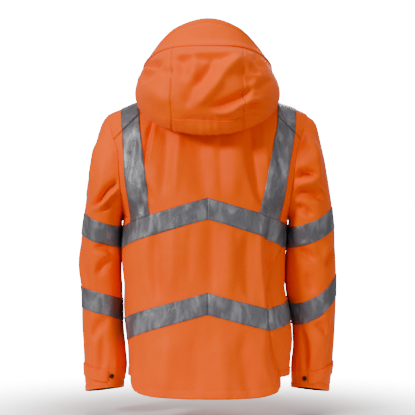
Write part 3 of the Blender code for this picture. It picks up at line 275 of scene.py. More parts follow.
def sewnOn(spec, points, normals, material, gaps=(0, 0, 0, 0), tube=False, inside=False, under=None):
    side = -1 if inside else 1
    base = (0.5 * (under or cloth["shell"]) + cloth["lift"])
    near = points + side * base * normals
    far = near + side * spec.get("thick", cloth["tape"]) * normals
    made = clothWall(spec["name"], inset(near, gaps), inset(far, gaps), material, tube)
    declareSheet(made, spec)
    return made


# materials

def linear(hexColour):
    parts = [int(hexColour[i:i + 2], 16) / 255 for i in (1, 3, 5)]
    return (*[c / 12.92 if c <= 0.04045 else ((c + 0.055) / 1.055) ** 2.4 for c in parts], 1.0)


def addNode(tree, kind, inputs=None, **settings):
    node = tree.nodes.new(kind)
    for key, value in settings.items():
        setattr(node, key, value)
    for key, value in (inputs or {}).items():
        if isinstance(value, bpy.types.NodeSocket):
            tree.links.new(value, node.inputs[key])
        else:
            node.inputs[key].default_value = value
    return node


def newMaterial(name, shader):
    made = bpy.data.materials.new(name)
    made.use_nodes = True
    tree = made.node_tree
    principled = tree.nodes["Principled BSDF"]
    for key, value in shader.items():
        principled.inputs[key].default_value = value
    return made, tree, principled


shellFinish = {
    "lit": "#ff701e", "deep": "#fb6016",    # fluorescent orange, uneven dye
    "threadMm": 1.3,        # real yarns are 0.3 mm apart: drawn coarser so that they show close up
    "threadBump": 0.10,
    "handBump": 0.30,       # the soft dents that coated cloth keeps
}


def makeWovenShell():
    # dyed polyester, plain weave, coated on the back: matt, with a soft sheen on the turns
    made, tree, shader = newMaterial("wovenPolyesterShell", {
        "Roughness": 0.62, "IOR": 1.5, "Specular IOR Level": 0.32, "Sheen Weight": 0.10, "Sheen Roughness": 0.45})
    place = addNode(tree, "ShaderNodeTexCoord").outputs
    uv = addNode(tree, "ShaderNodeUVMap", uv_map="cut").outputs["UV"]
    blotch = addNode(tree, "ShaderNodeTexNoise", {"Vector": place["Object"], "Scale": 9.0, "Detail": 3.0}).outputs["Fac"]
    colour = addNode(tree, "ShaderNodeMix", {0: blotch, 6: linear(shellFinish["deep"]), 7: linear(shellFinish["lit"])},
                     data_type="RGBA").outputs[2]
    # a wave texture repeats every 2 pi / 20 units at scale 1
    threads = {"Vector": uv, "Scale": 0.31416 * 1000 / shellFinish["threadMm"], "Distortion": 0.4}
    warp, weft = (addNode(tree, "ShaderNodeTexWave", threads, wave_type="BANDS", bands_direction=way).outputs["Color"]
                  for way in "XY")
    weave = addNode(tree, "ShaderNodeMix", {0: 1.0, 6: warp, 7: weft}, data_type="RGBA", blend_type="MULTIPLY").outputs[2]
    shade = addNode(tree, "ShaderNodeMapRange", {"Value": weave, "To Min": 0.93, "To Max": 1.03}).outputs["Result"]
    shaded = addNode(tree, "ShaderNodeMix", {0: 1.0, 6: colour, 7: shade}, data_type="RGBA", blend_type="MULTIPLY")
    tree.links.new(shaded.outputs[2], shader.inputs["Base Color"])
    dents = addNode(tree, "ShaderNodeTexNoise", {"Vector": place["Object"], "Scale": 55.0, "Detail": 4.0,
                                                 "Roughness": 0.5}).outputs["Fac"]
    soft = addNode(tree, "ShaderNodeBump", {"Height": dents, "Strength": shellFinish["handBump"], "Distance": 0.004})
    fine = addNode(tree, "ShaderNodeBump", {"Height": weave, "Strength": shellFinish["threadBump"], "Distance": 0.0005,
                                            "Normal": soft.outputs["Normal"]})
    tree.links.new(fine.outputs["Normal"], shader.inputs["Normal"])
    return made


tapeFinish = {
    # bright is a painted highlight colour, laid in upright streaks over the grey
    "grey": "#6a6a6f", "bright": "#96979c",
    "beadMm": 1.6,          # real beads are 0.05 mm: drawn as a coarse grain that shows close up
    "crinkleBump": 0.75,
}


def makeBeadTape():
    # glass beads half sunk in an aluminised film: dull silver grey that flashes at creases, with painted highlight
    # streaks in a brighter grey
    made, tree, shader = newMaterial("glassBeadTape", {
        "Metallic": 0.32, "IOR": 1.5, "Coat Weight": 0.08, "Coat Roughness": 0.3})
    place = addNode(tree, "ShaderNodeTexCoord").outputs
    uv = addNode(tree, "ShaderNodeUVMap", uv_map="cut").outputs["UV"]
    stretched = addNode(tree, "ShaderNodeMapping", {"Vector": place["Object"], "Scale": (1.0, 1.0, 0.45)}).outputs[0]
    crinkle = addNode(tree, "ShaderNodeTexNoise", {"Vector": stretched, "Scale": 70.0, "Detail": 5.0, "Roughness": 0.60,
                                                   "Distortion": 0.8}).outputs["Fac"]
    # painted highlight: this noise, stretched upright, lays the brighter grey in streaks that stand for light caught on
    # the creased tape, and makes those streaks glossier
    streakNoise = addNode(tree, "ShaderNodeTexNoise", {"Vector": stretched, "Scale": 34.0, "Detail": 4.0, "Distortion": 0.7}).outputs["Fac"]
    wearAndHighlightStreaks = addNode(tree, "ShaderNodeMapRange", {"Value": streakNoise, "From Min": 0.45, "From Max": 0.72}).outputs["Result"]
    beads = addNode(tree, "ShaderNodeTexVoronoi", {"Vector": uv, "Scale": 1000 / tapeFinish["beadMm"]}).outputs["Distance"]
    colour = addNode(tree, "ShaderNodeMix", {0: wearAndHighlightStreaks, 6: linear(tapeFinish["grey"]), 7: linear(tapeFinish["bright"])},
                     data_type="RGBA").outputs[2]
    grain = addNode(tree, "ShaderNodeMapRange", {"Value": beads, "To Min": 1.06, "To Max": 0.88}).outputs["Result"]
    shaded = addNode(tree, "ShaderNodeMix", {0: 1.0, 6: colour, 7: grain}, data_type="RGBA", blend_type="MULTIPLY")
    tree.links.new(shaded.outputs[2], shader.inputs["Base Color"])
    rough = addNode(tree, "ShaderNodeMapRange", {"Value": streakNoise, "To Min": 0.58, "To Max": 0.38}).outputs["Result"]
    tree.links.new(rough, shader.inputs["Roughness"])
    soft = addNode(tree, "ShaderNodeBump", {"Height": crinkle, "Strength": tapeFinish["crinkleBump"], "Distance": 0.004})
    fine = addNode(tree, "ShaderNodeBump", {"Height": beads, "Strength": 0.08, "Distance": 0.0006,
                                            "Normal": soft.outputs["Normal"]})
    tree.links.new(fine.outputs["Normal"], shader.inputs["Normal"])
    return made


def makeWeave(name, hexA, hexB, threadMm, rough):
    # plain dark woven tape and facing: dull, with its threads just showing
    made, tree, shader = newMaterial(name, {"Roughness": rough, "IOR": 1.5, "Specular IOR Level": 0.3,
                                            "Sheen Weight": 0.2, "Sheen Roughness": 0.5})
    uv = addNode(tree, "ShaderNodeUVMap", uv_map="cut").outputs["UV"]
    threads = {"Vector": uv, "Scale": 0.31416 * 1000 / threadMm}
    warp, weft = (addNode(tree, "ShaderNodeTexWave", threads, wave_type="BANDS", bands_direction=way).outputs["Color"]
                  for way in "XY")
    weave = addNode(tree, "ShaderNodeMix", {0: 1.0, 6: warp, 7: weft}, data_type="RGBA", blend_type="MULTIPLY").outputs[2]
    colour = addNode(tree, "ShaderNodeMix", {0: weave, 6: linear(hexA), 7: linear(hexB)}, data_type="RGBA")
    tree.links.new(colour.outputs[2], shader.inputs["Base Color"])
    bump = addNode(tree, "ShaderNodeBump", {"Height": weave, "Strength": 0.35, "Distance": 0.0004})
    tree.links.new(bump.outputs["Normal"], shader.inputs["Normal"])
    return made


def makeMoulded(name, hexA, hexB, rough, grainMm):
    # moulded acetal and nylon: even colour with the fine grain of the mould
    made, tree, shader = newMaterial(name, {"IOR": 1.48, "Specular IOR Level": 0.5})
    place = addNode(tree, "ShaderNodeTexCoord").outputs["Object"]
    grain = addNode(tree, "ShaderNodeTexNoise", {"Vector": place, "Scale": 1000 / grainMm, "Detail": 3.0}).outputs["Fac"]
    colour = addNode(tree, "ShaderNodeMix", {0: grain, 6: linear(hexA), 7: linear(hexB)}, data_type="RGBA")
    tree.links.new(colour.outputs[2], shader.inputs["Base Color"])
    ramp = addNode(tree, "ShaderNodeMapRange", {"Value": grain, "To Min": rough - 0.06, "To Max": rough + 0.08})
    tree.links.new(ramp.outputs["Result"], shader.inputs["Roughness"])
    bump = addNode(tree, "ShaderNodeBump", {"Height": grain, "Strength": 0.12, "Distance": 0.0003})
    tree.links.new(bump.outputs["Normal"], shader.inputs["Normal"])
    return made


def makeEnamel():
    # cast zinc slider under baked enamel: glossy black worn to grey in scattered spots
    made, tree, shader = newMaterial("bakedEnamelZinc", {"Metallic": 0.35, "Coat Weight": 0.5, "Coat Roughness": 0.12})
    place = addNode(tree, "ShaderNodeTexCoord").outputs["Object"]
    wearAndHighlightStreaks = addNode(tree, "ShaderNodeTexNoise", {"Vector": place, "Scale": 420.0, "Detail": 4.0}).outputs["Fac"]
    edge = addNode(tree, "ShaderNodeMapRange", {"Value": wearAndHighlightStreaks, "From Min": 0.55, "From Max": 0.8}).outputs["Result"]
    colour = addNode(tree, "ShaderNodeMix", {0: edge, 6: linear("#1c1c1e"), 7: linear("#4a4a4e")}, data_type="RGBA")
    tree.links.new(colour.outputs[2], shader.inputs["Base Color"])
    ramp = addNode(tree, "ShaderNodeMapRange", {"Value": wearAndHighlightStreaks, "To Min": 0.28, "To Max": 0.45})
    tree.links.new(ramp.outputs["Result"], shader.inputs["Roughness"])
    return made


wovenShell = makeWovenShell()
beadTape = makeBeadTape()
darkFacing = makeWeave("wovenDarkFacing", "#1b1b1d", "#303033", 0.9, 0.85)
blackAcetal = makeMoulded("mouldedBlackAcetal", "#111113", "#1d1d20", 0.36, 0.8)
toothPlastic = makeMoulded("mouldedZipTeeth", "#2c2c2e", "#3a3a3c", 0.42, 0.7)
enamel = makeEnamel()
orangeThread = makeMoulded("spunOrangeThread", "#d9480f", "#f06a28", 0.7, 0.6)
greyThread = makeMoulded("spunGreyThread", "#5a5a5e", "#7d7d82", 0.7, 0.6)
print("materials made")




# the torso form: rounded ovals from the hem up to a ridge along each shoulder

torsoForm = {
    "sections": (   # height, half width left and right, depth back and front, squareness
        (0.006, 0.064, 0.064, 0.064, 0.058, 2.00), (0.000, 0.078, 0.078, 0.070, 0.062, 2.00),
        (-0.0365, 0.176, 0.175, 0.088, 0.078, 2.00), (-0.0515, 0.211, 0.2145, 0.095, 0.084, 2.00),
        (-0.068, 0.246, 0.246, 0.101, 0.091, 2.00), (-0.120, 0.272, 0.272, 0.121, 0.110, 2.00),
        (-0.190, 0.270, 0.268, 0.137, 0.126, 2.00), (-0.250, 0.246, 0.240, 0.143, 0.134, 2.10),
        (-0.315, 0.205, 0.197, 0.145, 0.137, 2.25), (-0.370, 0.2095, 0.191, 0.144, 0.137, 2.35),
        (-0.430, 0.208, 0.187, 0.143, 0.136, 2.40), (-0.480, 0.203, 0.187, 0.143, 0.136, 2.40),
        (-0.530, 0.2045, 0.197, 0.145, 0.137, 2.40), (-0.610, 0.1975, 0.206, 0.149, 0.139, 2.40),
        (-0.670, 0.1935, 0.200, 0.153, 0.141, 2.40), (-0.750, 0.197, 0.199, 0.157, 0.143, 2.40)),
    "armhole": (    # height, how far out at left and right
        (-0.068, 0.2450, 0.2450), (-0.128, 0.2255, 0.2235), (-0.160, 0.2150, 0.2145), (-0.210, 0.2115, 0.2075),
        (-0.250, 0.2085, 0.2025), (-0.290, 0.2062, 0.1982), (-0.315, 0.2050, 0.1970)),
    "sideSeam": (   # height, degrees round from the centre back at left and right
        (-0.315, 90.0, 90.0), (-0.370, 88.0, 75.0), (-0.430, 85.0, 56.0), (-0.500, 84.0, 44.0), (-0.567, 82.0, 41.5),
        (-0.610, 79.0, 43.0), (-0.676, 74.0, 55.0), (-0.720, 71.0, 63.0), (-0.750, 70.0, 66.0)),
    "shoulderSeam": ((0.0707, -0.0006), (0.120, -0.036), (0.163, -0.068), (0.206, -0.110), (0.2230, -0.128)),
    "backHem": (    # share of the half width, height at left and right
        (0.00, -0.7420, -0.7420), (0.30, -0.7405, -0.7420), (0.70, -0.7325, -0.7325), (0.92, -0.7190, -0.7195),
        (1.00, -0.6970, -0.6970)),
    "frontHem": -0.697, "underarm": -0.315, "shoulderTip": -0.068, "yokeDrop": 0.048, "armholeMargin": 0.010,
    "neckHalfWidth": 0.078, "neckBack": 0.078, "neckFront": 0.091, "neckCorner": 115.0, "frontRidgeX": 0.100,
    "zipEdge": 0.0042,
}
braceForm = {       # height, outer and inner edge at the left, outer and inner edge at the right
    "back": ((-0.050, 0.2100, 0.1650, 0.2150, 0.1700), (-0.085, 0.2055, 0.1620, 0.2127, 0.1670),
             (-0.200, 0.1985, 0.1485, 0.1940, 0.1450), (-0.270, 0.1900, 0.1410, 0.1830, 0.1315),
             (-0.315, 0.1840, 0.1365, 0.1720, 0.1190)),
    "front": ((-0.050, 0.2100, 0.1650, 0.2150, 0.1700), (-0.120, 0.1980, 0.1500, 0.2000, 0.1500),
              (-0.200, 0.1850, 0.1350, 0.1830, 0.1350), (-0.315, 0.1650, 0.1180, 0.1600, 0.1150)),
}
bandForm = {"upper": -0.2942, "lower": -0.5180, "fall": 0.280, "rise": 0.160, "halfHeight": 0.0258}

torso = curvesOf(("z", "left", "right", "back", "front", "power"), torsoForm["sections"])
armhole = curvesOf(("z", "left", "right"), torsoForm["armhole"])
sideSeam = curvesOf(("z", "left", "right"), torsoForm["sideSeam"])
braces = {face: curvesOf(("z", "leftOuter", "leftInner", "rightOuter", "rightInner"), rows)
          for face, rows in braceForm.items()}
shoulderSeam = curvesOf(("x", "z"), torsoForm["shoulderSeam"])["z"]
armMiddle = 0.5 * (torsoForm["shoulderTip"] + torsoForm["underarm"])
armHalf = 0.5 * (torsoForm["shoulderTip"] - torsoForm["underarm"])


def halfWidth(x, z):
    return np.where(np.asarray(x) < 0, torso["left"](z), torso["right"](z))


def torsoY(x, z, front):
    power = torso["power"](z)
    share = np.clip(np.abs(x) / halfWidth(x, z), 0.0, 1.0)
    reach = (1 - share ** power) ** (1 / power)
    return np.where(front, torso["front"](z) * reach, -torso["back"](z) * reach)


def torsoField(x, y, z):
    power = torso["power"](z)
    depth = np.where(np.asarray(y) < 0, torso["back"](z), torso["front"](z))
    return (np.abs(x) / halfWidth(x, z)) ** power + (np.abs(y) / depth) ** power


def torsoNormal(points):
    x, y, z = points[..., 0], points[..., 1], points[..., 2]
    d = 2e-4
    return unit(np.stack([torsoField(x + d, y, z) - torsoField(x - d, y, z),
                          torsoField(x, y + d, z) - torsoField(x, y - d, z),
                          torsoField(x, y, z + d) - torsoField(x, y, z - d)], axis=-1))


def angleOf(x, z, side):
    share = np.clip(np.abs(x) / torso[sideName[side]](z), 0.0, 1.0)
    return np.degrees(np.arcsin(share ** (torso["power"](z) / 2)))


def acrossAt(angle, z, side):
    return side * torso[sideName[side]](z) * squaredOff(np.sin(np.radians(angle)), torso["power"](z))


def armholeHeight(step):    # 0 at the shoulder tip, 9 at the underarm
    return armMiddle + armHalf * np.cos(np.pi * step / 9)


def neckline(angle, side):
    turn = math.radians(angle)
    x = side * torsoForm["neckHalfWidth"] * math.sin(turn)
    y = math.cos(turn) * (torsoForm["neckFront"] if angle < 90 else torsoForm["neckBack"])
    return np.array([x, y, solve(lambda level: torsoField(x, y, level) - 1, -0.10, 0.0055)])


backKeys = (0.0, 0.22, 0.42, 0.66, 1.0)     # centre, neck corner, brace edges, side
frontKeys = (0.0, 0.34, 0.58, 0.70, 1.0)    # side, brace edges, neck corner, zip
neckAngle = smoothCurve((0.70, 0.76, 0.82, 0.88, 0.94, 1.0), (112.0, 88.0, 64.0, 42.0, 21.0, 3.1))


def panelX(face, share, z, side):
    name, edges = sideName[side], braces[face]
    z = np.asarray(z, float)
    level = np.clip(z, torsoForm["underarm"], -0.05)
    outer, inner = edges[name + "Outer"](level), edges[name + "Inner"](level)
    neck = 0.0707 if face == "back" else torsoForm["frontRidgeX"]
    arm = armhole[name](z)
    if face == "back":
        high = between(backKeys, (0 * z, neck + 0 * z, inner, outer, arm), share)
    else:
        high = between(frontKeys, (arm, outer, inner, neck + 0 * z, torsoForm["zipEdge"] + 0 * z), share)
    seam = sideSeam[name](z)
    outer, inner, neck = (angleOf(x, level, side) for x in (outer, inner, neck))
    if face == "back":
        inner = np.minimum(inner, 0.74 * seam)
        outer = np.minimum(outer, 0.5 * (inner + seam))
        angle = between(backKeys, (0 * z, np.minimum(neck, 0.6 * inner), inner, outer, seam), share)
    else:
        zipEdge = 180 - angleOf(torsoForm["zipEdge"], z, side)
        angle = between(frontKeys, (seam, 180 - outer, 180 - inner, 180 - neck, zipEdge), share)
    above = z >= torsoForm["underarm"]
    front = np.where(above, face == "front", angle > 90)
    return np.where(above, side * high, acrossAt(angle, z, side)), front


clothRound = {}
for bandName in ("upper", "lower"):
    for side in (left, right):
        angles = np.linspace(0, 180, 361)
        x = acrossAt(angles, bandForm[bandName], side)
        y = torsoY(x, bandForm[bandName], angles > 90)
        run = np.concatenate([[0], np.cumsum(np.hypot(np.diff(x), np.diff(y)))])
        clothRound[bandName, side] = (angles, run)


def clothTo(face, band, share, side, z):
    x, front = panelX(face, share, z, side)
    angle = float(angleOf(x, z, side))
    return float(np.interp(180 - angle if front else angle, *clothRound[band, side]))


def bandHeight(face, band, share, side):
    seamZ = bandForm[band]
    for _ in range(8):
        seamZ = bandForm[band] - bandForm["fall"] * clothTo("back", band, 1.0, side, seamZ)
    seamRun = clothTo("back", band, 1.0, side, seamZ)
    z = seamZ
    for _ in range(8):
        if face == "back":
            z = bandForm[band] - bandForm["fall"] * clothTo(face, band, share, side, z)
        else:
            z = seamZ + bandForm["rise"] * (clothTo(face, band, share, side, z) - seamRun)
    return z


panelRows = {"low": 40, "band": 14, "middle": 44, "rise": 64, "ridge": 12, "over": 14}


def lowerHeights(face, share, side):
    hem = torsoForm["frontHem"]
    if face == "back":
        table = np.array(torsoForm["backHem"])
        hem = float(smoothCurve(table[:, 0], table[:, 1 if side == left else 2])(share))
    guides = [hem]
    for band in ("lower", "upper"):
        middle = bandHeight(face, band, share, side)
        guides += [middle - bandForm["halfHeight"], middle + bandForm["halfHeight"]]
    rows = (panelRows["low"], panelRows["band"], panelRows["middle"], panelRows["band"])
    return spread(guides, rows)


lowerRow = panelRows["low"]
upperRow = lowerRow + panelRows["band"] + panelRows["middle"]
bandTopRow = upperRow + panelRows["band"]


def backTop(share, side):
    if share <= backKeys[1]:
        return neckline(180 - (180 - torsoForm["neckCorner"]) * share / backKeys[1], side)
    if share == 1.0:
        z = float(armholeHeight(3))
    else:
        z = solve(lambda h: h - float(shoulderSeam(abs(float(panelX("back", share, h, side)[0])))), -0.2, 0.0)
    x = float(panelX("back", share, z, side)[0])
    return np.array([x, float(torsoY(x, z, False)), z])


def backColumn(share, side):
    heights = lowerHeights("back", share, side)
    top = backTop(share, side)
    rise = np.arange(1, panelRows["rise"] + 1) / panelRows["rise"]
    z = np.concatenate([heights, heights[-1] + (top[2] - heights[-1]) * rise])
    x, _ = panelX("back", share, z, side)
    if share < backKeys[2]:
        n = panelRows["rise"]
        x[-n:] += (top[0] - x[-n:]) * rise ** 3
    made = np.stack([x, torsoY(x, z, False), z], axis=-1)
    made[-1] = top
    return made


def shoulderRidge(share, side):
    name = sideName[side]
    if share == 0:
        return side * float(armhole[name](torsoForm["shoulderTip"])), torsoForm["shoulderTip"]
    x = float(np.interp(share, frontKeys[:4], (armhole[name](torsoForm["shoulderTip"]), braces["front"][name + "Outer"](-0.05),
                                               braces["front"][name + "Inner"](-0.05), torsoForm["frontRidgeX"])))
    return side * x, solve(lambda z: x - float(torso[name](z)), -0.10, 0.0)


def frontColumn(share, side, seamPoint):
    name = sideName[side]
    heights = lowerHeights("front", share, side)
    over = share <= frontKeys[3]
    if over:
        topX, topZ = shoulderRidge(share, side)
    else:
        topX, _, topZ = neckline(float(neckAngle(share)), side)
    drop = torsoForm["yokeDrop"] * (1.0 if over else 0.75 + 0.25 * (1 - share))
    if share == 0:
        drop = topZ - float(armholeHeight(3))
    x, front = panelX("front", share, heights, side)
    parts = [np.stack([x, torsoY(x, heights, front), heights], axis=-1)]
    n = panelRows["rise"] - panelRows["over"]
    rise = np.arange(1, n + 1) / n
    z = heights[-1] + (topZ - drop - heights[-1]) * rise
    x, _ = panelX("front", share, z, side)
    if share > 0:
        x = x + (topX - x) * rise ** 3
        x = side * np.minimum(np.abs(x), armhole[name](z) - torsoForm["armholeMargin"] * min(1, share / 0.1))
    parts.append(np.stack([x, torsoY(x, z, True), z], axis=-1))
    rows = panelRows["ridge"] if over else panelRows["ridge"] + panelRows["over"]
    bend = 2.0 if over else 1 + math.sin(math.radians(float(neckAngle(share))))
    leftOver = 1 - np.arange(1, rows + 1) / rows
    z = topZ - drop * leftOver ** bend
    x = topX + 0 * z
    if share == 0:
        z = armholeHeight(3 * leftOver)
        x = side * armhole[name](z)
    y = torsoY(x, z, True)
    if over:
        y[-1] = 0.0
    parts.append(np.stack([x, y, z], axis=-1))
    if not over:
        return np.concatenate(parts)
    k = np.arange(1, panelRows["over"] + 1) / panelRows["over"]
    z = topZ - (topZ - seamPoint[2]) * k * k
    x = topX + (seamPoint[0] - topX) * k * k
    if share == 0:
        z = armholeHeight(3 * k)
        x = side * armhole[name](z)
    parts.append(np.stack([x, torsoY(x, z, False), z], axis=-1))
    parts[-1][-1] = seamPoint
    return np.concatenate(parts)


torsoFolds = {
    # in a chart of metres across and up, largest first
    "back": (
        (-0.128, -0.082, -0.147, -0.190, 0.0065, -0.0060, 0.006, -0.45),    # sharp pull beside the left brace
        (-0.020, -0.085, -0.010, -0.270, 0.030, -0.0065, 0.004, 0.0),       # broad hollow down the middle
        (0.062, -0.095, 0.060, -0.270, 0.020, 0.0050, -0.004, 0.0),
        (0.100, -0.095, 0.124, -0.275, 0.013, -0.0055, 0.004, 0.35),
        (-0.098, -0.110, -0.110, -0.265, 0.014, -0.0040, -0.003, 0.3),
        (-0.062, -0.100, -0.075, -0.262, 0.012, 0.0030, 0.003, 0.0),
        (0.030, -0.110, 0.034, -0.262, 0.011, -0.0022, 0.003, 0.0),
        (0.132, -0.100, 0.140, -0.200, 0.010, 0.0028, 0.0, 0.0),
        (-0.124, -0.345, -0.118, -0.505, 0.015, -0.0050, 0.004, 0.3),       # between the bands
        (-0.080, -0.330, -0.084, -0.500, 0.018, 0.0030, 0.0, 0.0),
        (0.006, -0.320, 0.008, -0.500, 0.018, -0.0050, -0.003, 0.0),
        (0.052, -0.330, 0.050, -0.515, 0.018, 0.0040, 0.003, 0.0),
        (0.094, -0.350, 0.100, -0.510, 0.016, -0.0035, 0.004, 0.3),
        (-0.040, -0.335, -0.045, -0.470, 0.012, -0.0020, 0.002, 0.0),
        (0.126, -0.330, 0.146, -0.560, 0.010, 0.0036, 0.010, 0.0),          # the turn before the right side seam
        (0.150, -0.320, 0.172, -0.560, 0.013, -0.0085, 0.010, 0.0),         # and the deep hollow beyond it
        (0.150, -0.580, 0.176, -0.735, 0.012, -0.0050, 0.004, 0.3),
        (-0.090, -0.600, -0.110, -0.742, 0.022, 0.0035, 0.0, 0.0),          # soft skirts under the lower band
        (-0.030, -0.590, -0.030, -0.742, 0.024, -0.0035, 0.0, 0.0),
        (0.030, -0.590, 0.042, -0.742, 0.022, 0.0035, 0.0, 0.0),
        (0.085, -0.585, 0.105, -0.742, 0.022, -0.0050, 0.004, 0.0),
        (-0.160, -0.600, -0.166, -0.700, 0.014, -0.0030, 0.0, 0.0),
        (-0.060, -0.742, 0.060, -0.738, 0.020, 0.0020, 0.0, 0.0),
        (0.110, -0.255, 0.150, -0.300, 0.007, -0.0022, 0.0, 0.4),           # puckers where band and brace meet
        (-0.150, -0.230, -0.130, -0.280, 0.007, -0.0026, 0.0, 0.4),
        (-0.168, -0.250, -0.150, -0.310, 0.006, -0.0024, 0.0, -0.4),
        (0.160, -0.110, 0.180, -0.220, 0.011, -0.0026, 0.0, 0.0),
        (-0.172, -0.120, -0.186, -0.230, 0.011, -0.0026, 0.0, 0.0)),
    "front": (
        (-0.110, -0.120, -0.128, -0.300, 0.018, 0.0050, 0.005, 0.0),
        (0.105, -0.110, 0.118, -0.290, 0.020, 0.0045, -0.005, 0.0),
        (-0.070, -0.130, -0.060, -0.310, 0.015, -0.0045, 0.0, 0.3),
        (0.066, -0.150, 0.060, -0.320, 0.015, -0.0040, 0.0, -0.3),
        (-0.125, -0.330, -0.130, -0.510, 0.018, 0.0045, 0.004, 0.0),
        (0.125, -0.330, 0.132, -0.540, 0.020, 0.0045, -0.004, 0.0),
        (-0.075, -0.350, -0.062, -0.520, 0.016, -0.0045, 0.0, 0.0),
        (0.078, -0.330, 0.070, -0.500, 0.016, -0.0040, 0.003, 0.3),
        (-0.150, -0.560, -0.140, -0.690, 0.017, -0.0040, 0.0, 0.0),
        (-0.095, -0.570, -0.100, -0.690, 0.020, 0.0045, 0.0, 0.0),
        (0.100, -0.560, 0.110, -0.690, 0.020, 0.0045, 0.0, 0.0),
        (0.150, -0.570, 0.152, -0.690, 0.015, -0.0040, 0.0, 0.0),
        (-0.170, -0.260, -0.100, -0.300, 0.008, -0.0030, 0.004, 0.4),
        (0.165, -0.255, 0.100, -0.300, 0.008, -0.0030, 0.004, -0.4),
        (-0.160, -0.330, -0.120, -0.400, 0.009, -0.0030, 0.004, 0.3),
        (0.160, -0.320, 0.110, -0.380, 0.009, -0.0034, 0.004, -0.3),
        (0.040, -0.585, 0.046, -0.690, 0.013, -0.0026, 0.0, 0.0),
        (-0.036, -0.600, -0.040, -0.690, 0.013, -0.0026, 0.0, 0.0)),
}
foldScale = {"torso": 1.9, "sleeve": 2.5, "hood": 1.45}
unevenness = {"soft": 0.0022, "softSize": (0.050, 0.050, 0.110), "fine": 0.0006, "fineSize": (0.016, 0.016, 0.034)}


def handUneven(points, scale=1.0):
    return scale * (unevenness["soft"] * softNoise(points, unevenness["softSize"])
                    + unevenness["fine"] * softNoise(points, unevenness["fineSize"], 1))


def torsoRelief(points):
    x, y, z = points[..., 0], points[..., 1], points[..., 2]
    back = eased((0.02 - y) / 0.05)
    relief = back * foldHeight(x, z, torsoFolds["back"]) + (1 - back) * foldHeight(x, z, torsoFolds["front"])
    return foldScale["torso"] * relief + handUneven(points)


def borderFade(points, borders, reach=0.014):
    fade = np.ones(points.shape[:2])
    for border in borders:
        fade = fade * eased(toBorder(points, border) / reach)
    return fade


def seamGroove(points, borders, depth=0.0011, stitch=0.0065):
    # the seam pulls the cloth in, and its topstitching draws a shallow line beside it
    total = np.zeros(points.shape[:2])
    for border in borders:
        d = toBorder(points, border)
        pucker = 1 + 0.45 * softNoise(points, (0.011, 0.011, 0.011), 2)
        total -= depth * pucker * np.exp(-(d / 0.0035) ** 2)
        total -= 0.5 * depth * pucker * np.exp(-((d - stitch) / 0.0024) ** 2)
        total += 0.35 * depth * np.exp(-((d - 0.6 * stitch) / 0.0025) ** 2)
    return total


def hemGroove(points, border, width, depth=0.0010):
    d = toBorder(points, border)
    pucker = 1 + 0.5 * softNoise(points, (0.014, 0.014, 0.014), 3)
    return -depth * pucker * np.exp(-((d - width) / 0.0028) ** 2) + 0.5 * depth * eased((width - d) / 0.006)




# back and fronts, with the tape that is sewn to them

bodyPieces = {
    "back": {"name": "backPanel", "node": "back_panel", "slot": "shell_fabric", "flat": (0.55, 0.76), "area": 0.335},
    "front": {
        left: {"name": "frontLeft", "node": "front_left", "slot": "shell_fabric", "flat": (0.38, 0.76), "area": 0.210},
        right: {"name": "frontRight", "node": "front_right", "slot": "shell_fabric", "flat": (0.42, 0.76), "area": 0.236}},
    "hemWidth": 0.022,
}
tapeLines = []      # paths for the stitches along tape edges
seamLines = []      # and for topstitching


def sewTape(spec, points, normals, gaps, tube=False):
    # tape keeps small creases of its own, and lies on the panel's points
    own = 0.00045 * softNoise(points, (0.0075, 0.0075, 0.016), 5) + 0.0005 * softNoise(points, (0.018, 0.018, 0.05), 6)
    made = sewnOn(spec, points + np.clip(own, 0, None)[..., None] * normals, normals, beadTape, gaps, tube)
    out = 0.5 * cloth["shell"] + cloth["lift"] + cloth["tape"] + np.clip(own, 0, None)
    top = points + out[..., None] * normals
    return made, top


def insetRow(grid, share, last=False):
    # a line just inside the first or last row or column
    return grid[:, -1] * (1 - share) + grid[:, -2] * share if last else grid[:, 0] * (1 - share) + grid[:, 1] * share


def addBodyTapes(label, points, normals, columns, braceColumns, gaps):
    panelName = "backPanel" if "back" in label else "frontLeft" if "left" in label else "frontRight"
    first, last = columns
    for band, row in (("upper", upperRow), ("lower", lowerRow)):
        block = (slice(first, last + 1), slice(row, row + panelRows["band"] + 1))
        spec = {"name": "tape_" + label + "_" + band + "_sewn", "node": "tape_" + label + "_" + band,
                "slot": "reflective_tape", "flat": (0.050, 0.235), "on": panelName}
        made, top = sewTape(spec, points[block], normals[block], gaps)
        run = float(gridLengths(top, 0)[-1].mean())
        spec["flat"] = (0.050, round(run, 3))
        tapeLines.extend([insetRow(top, 0.6), insetRow(top, 0.6, True)])
    first, last = braceColumns
    block = (slice(first, last + 1), slice(bandTopRow, None))
    spec = {"name": "brace_" + label + "_sewn", "node": "brace_" + label, "slot": "reflective_tape",
            "flat": (0.050, 0.28), "on": panelName}
    made, top = sewTape(spec, points[block], normals[block], (0, 0, cloth["seamGap"], 2 * cloth["seamGap"]))
    spec["flat"] = (0.050, round(float(gridLengths(top, 1)[:, -1].mean()), 3))
    across = np.swapaxes(top, 0, 1)
    tapeLines.extend([insetRow(across, 0.6), insetRow(across, 0.6, True)])


def closest(shares, value):
    return int(np.argmin(np.abs(np.asarray(shares) - value)))


def panelNormals(points, armColumns, armRow, neckColumns):
    normals = torsoNormal(points)
    for i in armColumns:
        out = points[i, armRow:] * 0.0
        out[..., 1] = points[i, armRow:, 1] * 1.5
        out[..., 2] = points[i, armRow:, 2] - armMiddle
        normals[i, armRow:] = unit(out)
    for i in neckColumns:
        out = points[i, -1].copy()
        out[2] = 0.0
        normals[i, -1] = unit(out)
    return normals


def armRowOf(column):
    return int(np.argmax(column[:, 2] >= torsoForm["underarm"]))


